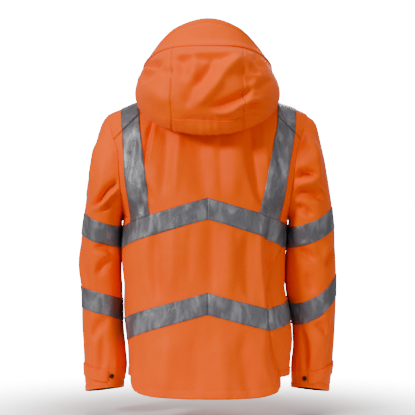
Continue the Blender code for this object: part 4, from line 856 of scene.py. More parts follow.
gap = cloth["seamGap"]
backShares = np.concatenate([np.linspace(a, b, n + 1)[(0 if a == 0 else 1):]
                             for a, b, n in zip(backKeys, backKeys[1:], (18, 23, 13, 11))])
backSides = [(s, left) for s in backShares[:0:-1]] + [(s, right) for s in backShares]
backBare = np.array([backColumn(float(s), side) for s, side in backSides])
middleColumn = len(backShares) - 1
reach = closest(backShares, backKeys[1])
backNormals = panelNormals(backBare, (0, -1), armRowOf(backBare[0]), range(middleColumn - reach, middleColumn + reach + 1))
relief = torsoRelief(backBare) * borderFade(backBare, ("last row",), 0.02) * (
    0.25 + 0.75 * borderFade(backBare, ("first column", "last column")))
relief = relief + seamGroove(backBare, ("first column", "last column", "last row"))
relief = relief + hemGroove(backBare, "first row", bodyPieces["hemWidth"])
backPoints = backBare + relief[..., None] * backNormals
shellPiece(bodyPieces["back"], backPoints, backNormals, wovenShell, gaps=(gap, gap, 0, gap))
low, high = closest(backShares, backKeys[2]), closest(backShares, backKeys[3])
addBodyTapes("back_left", backPoints, backNormals, (0, middleColumn), (middleColumn - high, middleColumn - low),
             (2 * gap, gap, 0, 0))
addBodyTapes("back_right", backPoints, backNormals, (middleColumn, 2 * middleColumn),
             (middleColumn + low, middleColumn + high), (gap, 2 * gap, 0, 0))
surface = backPoints + (0.5 * cloth["shell"] + 0.0001) * backNormals
hemRow = int(round(bodyPieces["hemWidth"] / 0.0041))
seamLines.extend([surface[:, hemRow], surface[2, :upperRow + 40], surface[-3, :upperRow + 40]])
print("back made")

frontShares = np.concatenate([np.linspace(a, b, n + 1)[(0 if a == 0 else 1):]
                              for a, b, n in zip(frontKeys, frontKeys[1:], (18, 14, 9, 22))])
for side in (left, right):
    columns = []
    for s in frontShares:
        s = float(s)
        seamPoint = None
        if s <= frontKeys[3]:
            match = float(np.interp(s, (0.0, 0.17, 0.34, 0.46, 0.58, 0.64, 0.70), (1.0, 0.83, 0.66, 0.54, 0.42, 0.32, 0.22)))
            seamPoint = backTop(1.0 if s == 0 else match, side)
        columns.append(frontColumn(s, side, seamPoint))
    bare = np.array(columns)
    # between the neck corner and the first column that rises to the neckline in front of it
    corner, beyond = bare[closest(frontShares, 0.70)], frontColumn(0.76, side, None)
    for i, s in enumerate(frontShares):
        if 0.7001 < s < 0.76:
            t = float(s - 0.70) / 0.06
            bare[i] = corner * (1 - t) + beyond * t
            on = neckline(115.0 + (88.0 - 115.0) * t, side) - bare[i, -1]
            bare[i] += on * (np.arange(bare.shape[1]) / (bare.shape[1] - 1))[:, None] ** 12
    normals = panelNormals(bare, (0,), armRowOf(bare[0]), range(closest(frontShares, frontKeys[3]), len(frontShares)))
    relief = torsoRelief(bare) * borderFade(bare, ("last row", "last column"), 0.02) * (
        0.25 + 0.75 * borderFade(bare, ("first column",)))
    relief = relief + seamGroove(bare, ("first column", "last row"))
    relief = relief + hemGroove(bare, "first row", bodyPieces["hemWidth"])
    zipRun = toBorder(bare, "last column")
    relief = relief - 0.0007 * np.exp(-((zipRun - 0.012) / 0.0026) ** 2) * eased(zipRun / 0.004)
    points = bare + relief[..., None] * normals
    spec = bodyPieces["front"][side]
    shellPiece(spec, points, normals, wovenShell, gaps=(gap, 0, 0, gap))
    addBodyTapes("front_" + sideName[side], points, normals, (0, len(frontShares) - 1),
                 (closest(frontShares, frontKeys[1]), closest(frontShares, frontKeys[2])), (2 * gap, 0, 0, 0))
    surface = points + (0.5 * cloth["shell"] + 0.0001) * normals
    seamLines.extend([surface[:, hemRow], surface[-4, :-6], surface[: closest(frontShares, frontKeys[3]), -3]])
print("fronts made")


# sleeves: tubes that start from the armholes

sleeveForm = {
    # height of the outer and inner side with how far out each lies, then middle and half
    # depth front to back, and how much lower the front of the ring is
    "columns": ("outerZ", "outerLeft", "outerRight", "innerZ", "innerLeft", "innerRight", "yMid", "halfDepth", "drop"),
    "rings": (
        (-0.0680, 0.2450, 0.2450, -0.3150, 0.2050, 0.1970, 0.000, 0.084, 0.000),
        (-0.0900, 0.2590, 0.2640, -0.3172, 0.2090, 0.2010, 0.001, 0.087, 0.000),
        (-0.1500, 0.2760, 0.2800, -0.3230, 0.2130, 0.2050, 0.003, 0.090, 0.000),
        (-0.2200, 0.2890, 0.2930, -0.3330, 0.2150, 0.2065, 0.006, 0.090, 0.000),
        (-0.2950, 0.2985, 0.3040, -0.3500, 0.2160, 0.2055, 0.010, 0.086, 0.000),
        (-0.3650, 0.3075, 0.3110, -0.3870, 0.2150, 0.1965, 0.018, 0.081, 0.002),
        (-0.4300, 0.3148, 0.3150, -0.4400, 0.2125, 0.1910, 0.025, 0.077, 0.004),
        (-0.4950, 0.3100, 0.3160, -0.5000, 0.2090, 0.1945, 0.029, 0.073, 0.006),
        (-0.5600, 0.3090, 0.3140, -0.5600, 0.2075, 0.2065, 0.030, 0.069, 0.009),
        (-0.6200, 0.3060, 0.3110, -0.6170, 0.2030, 0.2115, 0.030, 0.065, 0.012),
        (-0.6800, 0.3030, 0.3065, -0.6720, 0.1990, 0.2075, 0.030, 0.061, 0.015),
        (-0.7360, 0.3000, 0.2990, -0.7250, 0.2080, 0.2075, 0.030, 0.058, 0.018)),
    "bands": {      # height at the outer, back and inner side
        left: {"upper": (-0.3310, -0.3517, -0.3626), "lower": (-0.5096, -0.5233, -0.5415),
               "tab": (-0.6885, -0.7010, -0.6980)},
        right: {"upper": (-0.3149, -0.3493, -0.3650), "lower": (-0.4802, -0.5365, -0.5513),
                "tab": (-0.6835, -0.7060, -0.7000)}},
    "power": 2.25, "blend": 2.2, "tabHalf": 0.0150, "columnsRound": 108,
    "rows": (66, 14, 32, 14, 30, 9, 9),
}
sleeveFolds = {
    # chart: metres round the sleeve (0 outer, + towards the back) and height
    left: (
        (0.142, -0.105, 0.120, -0.180, 0.012, -0.0075, 0.006, 0.35),
        (0.150, -0.215, 0.076, -0.290, 0.010, -0.0080, -0.010, -0.40),
        (0.168, -0.240, 0.120, -0.300, 0.009, -0.0060, -0.006, 0.35),
        (0.172, -0.402, 0.104, -0.388, 0.010, -0.0042, 0.006, -0.30),
        (0.165, -0.410, 0.110, -0.455, 0.012, -0.0040, 0.004, 0.3),
        (0.040, -0.120, 0.060, -0.250, 0.018, 0.0030, 0.006, 0.0),
        (0.030, -0.375, 0.080, -0.490, 0.016, -0.0030, -0.006, 0.3),
        (0.140, -0.560, 0.080, -0.610, 0.014, -0.0032, 0.004, 0.3),
        (0.060, -0.560, 0.050, -0.680, 0.016, -0.0026, 0.004, 0.0),
        (0.120, -0.600, 0.110, -0.690, 0.012, -0.0024, 0.0, 0.3),
        (-0.150, -0.240, -0.090, -0.300, 0.010, -0.0070, 0.008, 0.4),
        (-0.165, -0.280, -0.110, -0.350, 0.009, -0.0060, 0.006, 0.4),
        (-0.155, -0.420, -0.080, -0.405, 0.011, -0.0060, -0.008, 0.4),
        (-0.150, -0.450, -0.090, -0.480, 0.010, -0.0050, -0.005, 0.3),
        (-0.040, -0.130, -0.060, -0.250, 0.018, 0.0030, 0.0, 0.0),
        (-0.120, -0.580, -0.070, -0.640, 0.013, -0.0036, 0.0, 0.3)),
    right: (
        (0.118, -0.115, 0.128, -0.190, 0.019, -0.0095, 0.004, 0.30),
        (0.160, -0.232, 0.088, -0.214, 0.009, -0.0090, 0.010, -0.45),
        (0.165, -0.262, 0.070, -0.272, 0.010, -0.0070, 0.010, 0.45),
        (0.176, -0.290, 0.120, -0.310, 0.009, -0.0060, 0.004, 0.0),
        (0.060, -0.110, 0.080, -0.230, 0.016, 0.0040, -0.006, 0.0),
        (0.078, -0.430, 0.024, -0.392, 0.011, -0.0050, 0.004, 0.35),
        (0.166, -0.395, 0.110, -0.420, 0.012, -0.0055, 0.004, 0.35),
        (0.130, -0.450, 0.120, -0.500, 0.012, -0.0030, 0.0, 0.0),
        (0.120, -0.575, 0.070, -0.600, 0.012, -0.0040, 0.004, 0.3),
        (0.165, -0.590, 0.140, -0.690, 0.014, -0.0045, 0.004, 0.3),
        (0.050, -0.560, 0.060, -0.680, 0.016, -0.0026, 0.0, 0.0),
        (-0.150, -0.235, -0.085, -0.300, 0.010, -0.0072, 0.008, 0.4),
        (-0.160, -0.275, -0.105, -0.345, 0.010, -0.0060, 0.004, 0.4),
        (-0.155, -0.410, -0.085, -0.430, 0.011, -0.0060, 0.006, -0.4),
        (-0.140, -0.455, -0.080, -0.445, 0.009, -0.0040, 0.004, 0.3),
        (-0.050, -0.120, -0.050, -0.250, 0.018, 0.0030, 0.0, 0.0),
        (-0.120, -0.570, -0.060, -0.620, 0.013, -0.0036, 0.0, 0.3)),
}
cuffPieces = {
    "tabAngles": (-80.0, 100.0), "patchAngles": (-40.0, 6.0), "patchHeights": (-0.203, -0.263),
    "tabLift": 0.0012, "hemWidth": 0.017, "studRadius": 0.0055,
    "leanIn": {left: (0.0062, -0.365, 0.060), right: (0.0100, -0.348, 0.036)},
    "studAngle": 110.0, "studLift": 0.0015, "studHeight": 0.0030,
    "studProfile": ((0.0, 1.0), (0.40, 1.0), (0.72, 0.96), (0.92, 0.84), (1.0, 0.62), (0.96, 0.46), (0.80, 0.34), (0.76, 0.02)),
}


def armholeLoop(side, turn):
    z = armMiddle + armHalf * np.cos(turn)
    x = side * armhole[sideName[side]](z)
    y = torsoY(x, z, np.sin(turn) < 0)
    return np.stack([x, np.where(np.cos(turn) > 1 - 1e-9, 0.0, y), z], axis=-1)


def sleeveRing(side, turn, at):
    name = sideName[side].capitalize()
    wanted = ("outerZ", "outer" + name, "innerZ", "inner" + name, "yMid", "halfDepth", "drop")
    rows = [[row[sleeveForm["columns"].index(c)] for c in wanted] for row in sleeveForm["rings"]]
    outerZ, outerX, innerZ, innerX, yMid, depth, drop = np.moveaxis(flowing(rows, at), -1, 0)
    up, back = squaredOff(np.cos(turn), sleeveForm["power"]), squaredOff(np.sin(turn), sleeveForm["power"])
    return np.stack([side * (0.5 * (outerX + innerX) + 0.5 * (outerX - innerX) * up), yMid - depth * back,
                     0.5 * (outerZ + innerZ) + 0.5 * (outerZ - innerZ) * up + 0.5 * drop * (np.sin(turn) - 1)], axis=-1)


def sleevePoint(side, turn, at):
    turn, at = np.broadcast_arrays(np.asarray(turn, float), np.asarray(at, float))
    seam = armholeLoop(side, turn) - sleeveRing(side, turn, np.zeros_like(at))
    return sleeveRing(side, turn, at) + seam * eased(1 - at / sleeveForm["blend"])[..., None]


def ringAtHeight(side, turn, z):
    tries = np.linspace(0, len(sleeveForm["rings"]) - 1, 221)
    heights = np.minimum.accumulate(sleevePoint(side, np.full_like(tries, turn), tries)[:, 2])
    return float(np.interp(-z, -heights, tries))


def sleeveBandHeight(side, which, turn):
    outer, back, inner = sleeveForm["bands"][side][which]
    level = 0.5 * (outer + inner)
    return level + 0.5 * (outer - inner) * math.cos(turn) + (back - level) * math.sin(turn) ** 2


def sleeveNormal(side, turn, at):
    top = len(sleeveForm["rings"]) - 1.0
    roundIt = sleevePoint(side, turn + 1e-3, at) - sleevePoint(side, turn - 1e-3, at)
    along = sleevePoint(side, turn, np.minimum(at + 1e-3, top)) - sleevePoint(side, turn, np.maximum(at - 1e-3, 0.0))
    normals = unit(np.cross(roundIt, along))
    middle = sleevePoint(side, turn, at) - sleevePoint(side, turn + math.pi, at)
    facing = np.sign(np.sum(normals * middle, axis=-1, keepdims=True))
    return normals * np.where(facing == 0, 1, facing)


def chartRound(turn):
    return ((np.degrees(turn) + 180) % 360 - 180) * 0.0013


def columnsBetween(count, angles):
    a, b = (int(round(angle / 360 * count)) for angle in angles)
    return [i % count for i in range(a, b + 1)]


def addStud(name, node, foot, normal):
    # a turned cap with a rounded rim and a dished middle
    across = unit(np.cross(normal, np.array([0.0, 0.0, 1.0])))
    up, n = np.cross(across, normal), 40
    turns = 2 * math.pi * np.arange(n)[:, None] / n
    rings = [foot + normal * (cuffPieces["studLift"] + cuffPieces["studHeight"] * height)
             + (across * np.cos(turns) + up * np.sin(turns)) * cuffPieces["studRadius"] * width
             for height, width in cuffPieces["studProfile"]]
    faces = [(r * n + k, (r + 1) * n + k, (r + 1) * n + (k + 1) % n, r * n + (k + 1) % n)
             for r in range(len(rings) - 1) for k in range(n)]
    faces += [tuple(range(n)), tuple(range(len(rings) * n - 1, len(rings) * n - n - 1, -1))]
    mesh = bpy.data.meshes.new(name)
    mesh.from_pydata(np.concatenate(rings).tolist(), [], faces)
    mesh.materials.append(blackAcetal)
    mesh.polygons.foreach_set("use_smooth", np.ones(len(mesh.polygons), bool))
    bm = bmesh.new()
    bm.from_mesh(mesh)
    bmesh.ops.recalc_face_normals(bm, faces=bm.faces)
    bm.to_mesh(mesh)
    bm.free()
    made = bpy.data.objects.new(name, mesh)
    bpy.context.scene.collection.objects.link(made)
    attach(made, body)
    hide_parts(node)


for side in (left, right):
    name = sideName[side]
    count = sleeveForm["columnsRound"]
    turns = np.radians(np.arange(count) * 360.0 / count)
    at = []
    for turn in turns:
        guides = [0.0]
        for which, half in (("upper", bandForm["halfHeight"]), ("lower", bandForm["halfHeight"]), ("tab", sleeveForm["tabHalf"])):
            z = sleeveBandHeight(side, which, turn)
            guides += [ringAtHeight(side, turn, z + half), ringAtHeight(side, turn, z - half)]
        at.append(spread(guides + [len(sleeveForm["rings"]) - 1.0], sleeveForm["rows"]))
    at = np.array(at)
    turn = np.repeat(turns[:, None], at.shape[1], axis=1)
    bare = sleevePoint(side, turn, at)
    normals = sleeveNormal(side, turn, at)
    starts = np.cumsum((0,) + sleeveForm["rows"])
    chart = chartRound(turn)
    relief = foldScale["sleeve"] * foldHeight(chart, bare[..., 2], sleeveFolds[side]) + handUneven(bare)
    relief *= borderFade(bare, ("first row",), 0.022) * (0.3 + 0.7 * borderFade(bare, ("last row",), 0.03))
    inner = eased((np.abs(np.degrees(turn) - 180) - 20) / 50)      # the side that lies along the body stays clear of it
    relief = np.where(relief > 0, relief * inner, relief)
    lean, level, reach = cuffPieces["leanIn"][side]     # cloth of the inner side rests against the body
    relief += lean * np.exp(-((bare[..., 2] - level) / reach) ** 2) * eased((-np.cos(turn) - 0.15) / 0.75)
    relief += seamGroove(bare, ("first row",))
    relief += hemGroove(bare, "last row", cuffPieces["hemWidth"])
    gather = eased(1 - np.abs(toBorder(bare, "last row") - 0.05) / 0.05)    # the tab draws the cuff in
    relief += gather * 0.0010 * np.sin(turn * 17 + 3 * np.sin(turn * 2)) * (np.cos(turn) < 0.3)
    points = bare + relief[..., None] * normals
    out = points[:, 0] * 0.0
    out[..., 1] = points[:, 0, 1] * 1.5
    out[..., 2] = points[:, 0, 2] - armMiddle
    normals[:, 0] = unit(out)
    points[:, 0, 0] += side * cloth["seamGap"]
    shellPiece({"name": "sleeve" + name.capitalize(), "node": "sleeve_" + name, "slot": "shell_fabric",
                "flat": (0.50, 0.68), "area": 0.250}, points, normals, wovenShell, tube=True)
    for band, row in (("upper", starts[1]), ("lower", starts[3])):
        block = (slice(None), slice(row, row + sleeveForm["rows"][1] + 1))
        spec = {"name": "tape_sleeve_" + name + "_" + band + "_sewn", "node": "tape_sleeve_" + name + "_" + band,
                "slot": "reflective_tape", "flat": (0.050, 0.45), "on": "sleeve" + name.capitalize()}
        made, top = sewTape(spec, points[block], normals[block], (0, 0, 0, 0), tube=True)
        top = np.concatenate([top, top[:1]])
        spec["flat"] = (0.050, round(float(gridLengths(top, 0)[-1].mean()), 3))
        tapeLines.extend([insetRow(top, 0.6), insetRow(top, 0.6, True)])
    cuff = (slice(None), slice(starts[6], None))
    sewnOn({"name": "cuffFacing" + name.capitalize(), "node": "cuff_facing_" + name, "slot": "dark_facing",
            "flat": (0.33, 0.030), "on": "sleeve" + name.capitalize()}, points[cuff], normals[cuff], darkFacing, tube=True, inside=True)
    wanted = columnsBetween(count, cuffPieces["tabAngles"])
    block = slice(starts[5], starts[6] + 1)
    tab, tabNormals = points[wanted][:, block].copy(), normals[wanted][:, block]
    n = len(wanted)
    ends = np.minimum(np.arange(n), n - 1 - np.arange(n))
    tuck = 0.0035 * np.clip(1 - ends / 2.0, 0, 1) ** 2      # rounded corners at the tab's ends
    tab[:, 0] += unit(tab[:, -1] - tab[:, 0]) * tuck[:, None]
    tab[:, -1] -= unit(tab[:, -1] - tab[:, 0]) * tuck[:, None]
    lift = cuffPieces["tabLift"] * np.sin(np.pi * np.arange(n) / (n - 1))[:, None] ** 0.5
    lift = lift * (0.4 + 0.6 * np.sin(np.pi * np.arange(tab.shape[1]) / (tab.shape[1] - 1)))[None]
    made = sewnOn({"name": "cuffTab" + name.capitalize(), "node": "cuff_tab_" + name, "slot": "shell_fabric",
                   "flat": (0.03, 0.20), "thick": 0.0016, "on": "sleeve" + name.capitalize()}, tab + lift[..., None] * tabNormals, tabNormals, wovenShell)
    top = tab + (lift + 0.5 * cloth["shell"] + cloth["lift"] + 0.0017)[..., None] * tabNormals
    seamLines.extend([top[1:-1, 1], top[1:-1, -2], top[-3, 1:-1]])
    surface = points + (0.5 * cloth["shell"] + 0.0001) * normals
    loop = np.concatenate([surface, surface[:1]])
    seamLines.extend([loop[:, -5], loop[:, starts[5] - 1]])
    stud = [int(round(cuffPieces["studAngle"] / 360 * count)), slice(starts[5], starts[6] + 1)]
    addStud("cuffStud" + name.capitalize(), "cuff_stud_" + name, points[tuple(stud)].mean(axis=0),
            unit(normals[tuple(stud)].mean(axis=0)))
    if side == left:
        heights = bare[0, :, 2]
        rows = slice(closest(heights, cuffPieces["patchHeights"][0]), closest(heights, cuffPieces["patchHeights"][1]) + 1)
        patch = columnsBetween(count, cuffPieces["patchAngles"])
        sewnOn({"name": "sleevePatch", "node": "sleeve_patch", "slot": "dark_facing", "flat": (0.060, 0.070),
                "on": "sleeveLeft"},
               points[patch][:, rows], normals[patch][:, rows], darkFacing)
print("sleeves made")


# collar and zip

collarForm = {"height": 0.080, "foot": 0.0008, "lean": 0.007, "rows": 22, "step": 2.2}


def neckPoint(angle):
    return neckline(angle, right) if angle <= 180 else neckline(360 - angle, left)


def levelOut(points):
    out = points.copy()
    out[..., 2] = 0.0
    return unit(out)


collarAngles = finer([3.1, 356.9], collarForm["step"])
feet = np.array([neckPoint(float(a)) for a in collarAngles])
share = np.arange(collarForm["rows"] + 1) / collarForm["rows"]
lean = collarForm["lean"] * (1 - (1 - share) ** 2)
collarPoints = feet[:, None] - levelOut(feet)[:, None] * lean[None, :, None]
collarPoints[..., 2] += collarForm["foot"] + collarForm["height"] * share
collarNormals = levelOut(collarPoints)
relief = 0.0011 * softNoise(collarPoints, (0.03, 0.03, 0.06), 4) * borderFade(collarPoints, ("first row", "last row"), 0.02)
relief += hemGroove(collarPoints, "last row", 0.008, 0.0007) + seamGroove(collarPoints, ("first row",), 0.0007)
relief *= borderFade(collarPoints, ("first column", "last column"), 0.01)
collarPoints = collarPoints + relief[..., None] * collarNormals
shellPiece({"name": "collarStand", "node": "collar", "slot": "shell_fabric", "flat": (0.50, 0.083)},
           collarPoints, collarNormals, wovenShell, cloth["collar"])
seamLines.append((collarPoints + (0.5 * cloth["collar"] + 0.0001) * collarNormals)[:, -3])

zipForm = {
    "chainHalf": 0.0031, "chainDepths": (-0.0026, 0.0006), "tapeDepths": (-0.0037, -0.0029), "tapeWidth": 0.0085,
    "toothPitch": 0.0026, "boxHeight": 0.010,
}
heights = np.linspace(torsoForm["frontHem"] + zipForm["boxHeight"], -0.072, 120)
neck = neckline(3.1, right)
share = np.linspace(0.0, 0.97, 18)
collarRun = np.stack([neck[1] - collarForm["lean"] * (1 - (1 - share) ** 2),
                      neck[2] + 0.004 + collarForm["height"] * share - 0.004 * share], axis=-1)
zipLine = np.concatenate([np.stack([torso["front"](heights), heights], axis=-1), collarRun])


def zipStrip(name, node, slot, xs, depths, material):
    grids = [np.stack([np.stack([np.full(len(zipLine), x), zipLine[:, 0] + depth, zipLine[:, 1]], axis=-1) for x in xs])
             for depth in depths]
    made = clothWall(name, grids[0], grids[1], material)
    made.data.polygons.foreach_set("use_smooth", np.zeros(len(made.data.polygons), bool))
    declareSheet(made, {"name": name, "node": node, "slot": slot, "flat": (0.0105, 0.775), "area": 0.0064,
                        "on": "frontLeft" if xs[0] < 0 else "frontRight"})
    return made


for side in (left, right):
    zipStrip("zipTape" + sideName[side].capitalize(), "zip_tape_" + sideName[side], "dark_facing",
             np.linspace(side * cloth["seamGap"], side * zipForm["tapeWidth"], 3), zipForm["tapeDepths"], darkFacing)
print("collar and zip tapes made")


# hood, laid back behind the neck

hoodForm = {
    # one row for each direction round the neck (0 straight back, 90 over the shoulder):
    # pairs of distance and height from the layer on the back to the brim
    "profiles": (
        (0, (0.128, -0.048), (0.172, -0.121), (0.222, -0.075), (0.231, -0.005), (0.204, 0.066), (0.170, 0.090), (0.142, 0.154)),
        (30, (0.132, -0.040), (0.180, -0.106), (0.222, -0.066), (0.228, -0.004), (0.204, 0.060), (0.172, 0.086), (0.146, 0.134)),
        (60, (0.134, -0.008), (0.177, -0.062), (0.196, -0.036), (0.194, 0.002), (0.178, 0.036), (0.164, 0.062), (0.152, 0.080)),
        (90, (0.112, 0.004), (0.146, -0.009), (0.160, -0.003), (0.161, 0.006), (0.157, 0.018), (0.152, 0.032), (0.147, 0.044)),
        (120, (0.112, -0.006), (0.128, -0.014), (0.138, -0.010), (0.142, -0.004), (0.142, 0.003), (0.140, 0.011), (0.137, 0.019)),
        (150, (0.108, -0.047), (0.116, -0.049), (0.122, -0.044), (0.125, -0.038), (0.125, -0.031), (0.123, -0.024), (0.120, -0.017))),
    "end": 150.0, "foot": (0.0052, 0.0060), "seamX": 0.084, "seamSine": 0.46, "peakEnd": 84.0, "peakGap": 1.0,
    "peakNotch": 8.0, "peakRow": 6.0, "brimRow": 7.0, "adjusterRows": (2.15, 2.75), "adjusterShare": 0.94,
    "rows": 118,
}
hoodFolds = (   # chart: metres across and up, on the outer side
    (0.082, 0.060, 0.030, 0.008, 0.015, 0.0100, 0.003, 0.0),        # bright ridge from upper right to lower left
    (0.034, 0.012, -0.030, -0.060, 0.014, 0.0080, -0.004, 0.0),
    (0.014, 0.052, -0.036, -0.016, 0.013, -0.0095, -0.008, 0.0),    # hollow to its left
    (-0.030, -0.010, -0.052, -0.062, 0.014, -0.0040, 0.0, 0.0),
    (0.104, -0.016, 0.006, -0.062, 0.0095, -0.0105, -0.008, -0.40),  # long fold under the right side
    (0.130, -0.034, 0.014, -0.074, 0.010, 0.0075, -0.005, 0.0),
    (0.130, -0.054, 0.058, -0.074, 0.0085, -0.0110, 0.006, 0.0),    # darkest crease, low on the right
    (0.120, -0.078, 0.070, -0.094, 0.009, -0.0050, 0.004, 0.0),
    (-0.085, 0.062, 0.078, 0.068, 0.007, 0.0030, 0.0, 0.0),         # ledge below the peak's seam
    (-0.080, 0.050, 0.072, 0.054, 0.009, -0.0045, 0.0, 0.0),
    (-0.150, 0.050, -0.112, 0.042, 0.009, -0.0085, 0.0, 0.3),
    (-0.052, 0.066, -0.056, 0.000, 0.014, -0.0045, 0.003, 0.0),
    (-0.028, 0.064, -0.030, 0.004, 0.012, 0.0040, 0.002, 0.0),
    (0.098, 0.044, 0.120, 0.018, 0.008, -0.0060, 0.003, 0.4),
    (0.112, 0.070, 0.134, 0.034, 0.009, -0.0060, 0.004, 0.0),
    (0.070, 0.030, 0.108, -0.006, 0.013, -0.0050, 0.0, 0.0),
    (-0.132, 0.036, -0.152, 0.000, 0.010, -0.0060, 0.003, 0.3),
    (-0.112, 0.024, -0.076, 0.026, 0.010, -0.0045, 0.004, 0.0),
    (-0.104, 0.052, -0.146, 0.010, 0.012, -0.0050, -0.004, 0.0),
    (-0.140, -0.010, -0.080, -0.050, 0.018, 0.0040, 0.004, 0.0),
    (-0.150, -0.036, -0.090, -0.082, 0.013, -0.0030, 0.004, 0.0),
    (-0.060, -0.090, 0.030, -0.098, 0.010, -0.0030, -0.003, 0.0),
    (0.150, 0.010, 0.110, -0.020, 0.010, -0.0040, 0.0, 0.3),
)


def hoodProfile(angle):
    foot = neckPoint(180 - abs(angle))
    at = np.interp(abs(angle), [row[0] for row in hoodForm["profiles"]], range(len(hoodForm["profiles"])))
    pairs = [[value for pair in row[1:] for value in pair] for row in hoodForm["profiles"]]
    values = flowing([pairs[1]] + pairs, at + 1).reshape(-1, 2)
    start = [[math.hypot(foot[0], foot[1]) + hoodForm["foot"][0], foot[2] + hoodForm["foot"][1]]]
    return np.concatenate([start, values])


hoodStack = np.array([hoodProfile(a) for a in np.arange(0.0, hoodForm["end"] + 0.1, 2.0)])


def hoodPoint(angle, at):
    angle, at = np.broadcast_arrays(np.asarray(angle, float), np.asarray(at, float))
    row = np.abs(angle) / 2.0
    i = np.clip(row.astype(int), 0, len(hoodStack) - 2)
    blend = (row - i)[..., None]
    k = np.clip(np.floor(at).astype(int), 0, hoodStack.shape[1] - 2)
    t = (at - k)[..., None]
    last = hoodStack.shape[1] - 1

    def knot(j):
        j = np.clip(j, 0, last)
        return hoodStack[i, j] * (1 - blend) + hoodStack[i + 1, j] * blend

    p1, p2 = knot(k), knot(k + 1)
    p0 = np.where((k > 0)[..., None], knot(k - 1), 2 * p1 - p2)
    p3 = np.where((k + 2 <= last)[..., None], knot(k + 2), 2 * p2 - p1)
    value = p1 + 0.5 * t * (p2 - p0 + t * (2 * p0 - 5 * p1 + 4 * p2 - p3 + t * (3 * (p1 - p2) + p3 - p0)))
    turn = np.radians(angle)
    return np.stack([value[..., 0] * np.sin(turn), -value[..., 0] * np.cos(turn), value[..., 1]], axis=-1)


def hoodNormal(angle, at):
    roundIt = hoodPoint(angle + 0.5, at) - hoodPoint(angle - 0.5, at)
    along = hoodPoint(angle, np.minimum(at + 0.02, hoodForm["brimRow"])) - hoodPoint(angle, np.maximum(at - 0.02, 0.0))
    return unit(np.cross(roundIt, along))


def hoodSeamAngle(at):
    angle = np.full(np.shape(at), 24.0)
    for _ in range(6):
        point = hoodPoint(angle, at)
        angle = np.degrees(np.arcsin(np.minimum(hoodForm["seamX"] / np.hypot(point[..., 0], point[..., 1]), hoodForm["seamSine"])))
    return angle


def hoodSurface(angle, at, borders, stitchBorders):
    bare, normals = hoodPoint(angle, at), hoodNormal(angle, at)
    outer = eased((at - 2.0) / 0.6) * eased((5.9 - at) / 0.5)
    relief = outer * foldScale["hood"] * foldHeight(bare[..., 0], bare[..., 2], hoodFolds)
    relief += handUneven(bare, 0.9) * (0.25 + 0.75 * outer)
    relief *= 0.15 + 0.85 * borderFade(bare, borders, 0.010)
    relief += seamGroove(bare, [b for b in stitchBorders if "row" in b], 0.0004, 0.006)
    return bare, relief, normals


hoodAt = np.concatenate([finer([0.0, 2.15], 0.07), finer([2.15, 2.75], 0.05)[1:], finer([2.75, 6.0], 0.055)[1:]])
seam = hoodSeamAngle(hoodAt)
centreShares = np.sort(np.append(np.linspace(-1, 1, 53), (-hoodForm["adjusterShare"], hoodForm["adjusterShare"])))
angle = centreShares[:, None] * seam[None]
at = np.repeat(hoodAt[None], len(centreShares), axis=0)
bare, relief, normals = hoodSurface(angle, at, (), ("first column", "last column", "last row"))
gathers = np.sin(bare[..., 0] * 260 + 2.2 * np.sin(bare[..., 0] * 55)) * (0.5 + 0.5 * softNoise(bare, (0.03, 0.03, 0.03), 8))
gatherZone = eased((at - 1.75) / 0.35) * eased((3.05 - at) / 0.35)      # the adjuster draws the hood up
relief += gathers * gatherZone * 0.0018 * (0.7 + 0.6 * eased((bare[..., 0] - 0.0) / 0.06))
centrePoints = bare + relief[..., None] * normals
shellPiece({"name": "hoodCentre", "node": "hood_centre", "slot": "shell_fabric", "flat": (0.18, 0.44), "area": 0.067},
           centrePoints, normals, wovenShell, gaps=(0, 0, 0, gap))
surface = centrePoints + (0.5 * cloth["shell"] + 0.0001) * normals
seamLines.append(surface[2:-2, -3])
cols = slice(closest(centreShares, -hoodForm["adjusterShare"]), closest(centreShares, hoodForm["adjusterShare"]) + 1)
rows = slice(closest(hoodAt, hoodForm["adjusterRows"][0]), closest(hoodAt, hoodForm["adjusterRows"][1]) + 1)
band, bandNormals = centrePoints[cols, rows], normals[cols, rows]
across = np.linspace(-1, 1, band.shape[0])[:, None]
up = np.linspace(0, 1, band.shape[1])[None]
pull = 0.0022 * np.exp(-((across - 0.02) / 0.20) ** 2) * np.sin(np.pi * up)     # the tab in the middle stands out
ripple = 0.0006 * np.sin(across * 46 + 3 * np.sin(across * 7)) * np.sin(np.pi * up)
spec = {"name": "hoodAdjuster", "node": "hood_adjuster", "slot": "shell_fabric", "flat": (0.175, 0.044), "thick": 0.0015,
        "on": "hoodCentre"}
sewnOn(spec, band + (np.abs(pull) + np.abs(ripple))[..., None] * bandNormals, bandNormals, wovenShell)
top = band + (np.abs(pull) + np.abs(ripple) + 0.5 * cloth["shell"] + cloth["lift"] + 0.0016)[..., None] * bandNormals
seamLines.extend([top[1:-1, 1], top[1:-1, -2]])

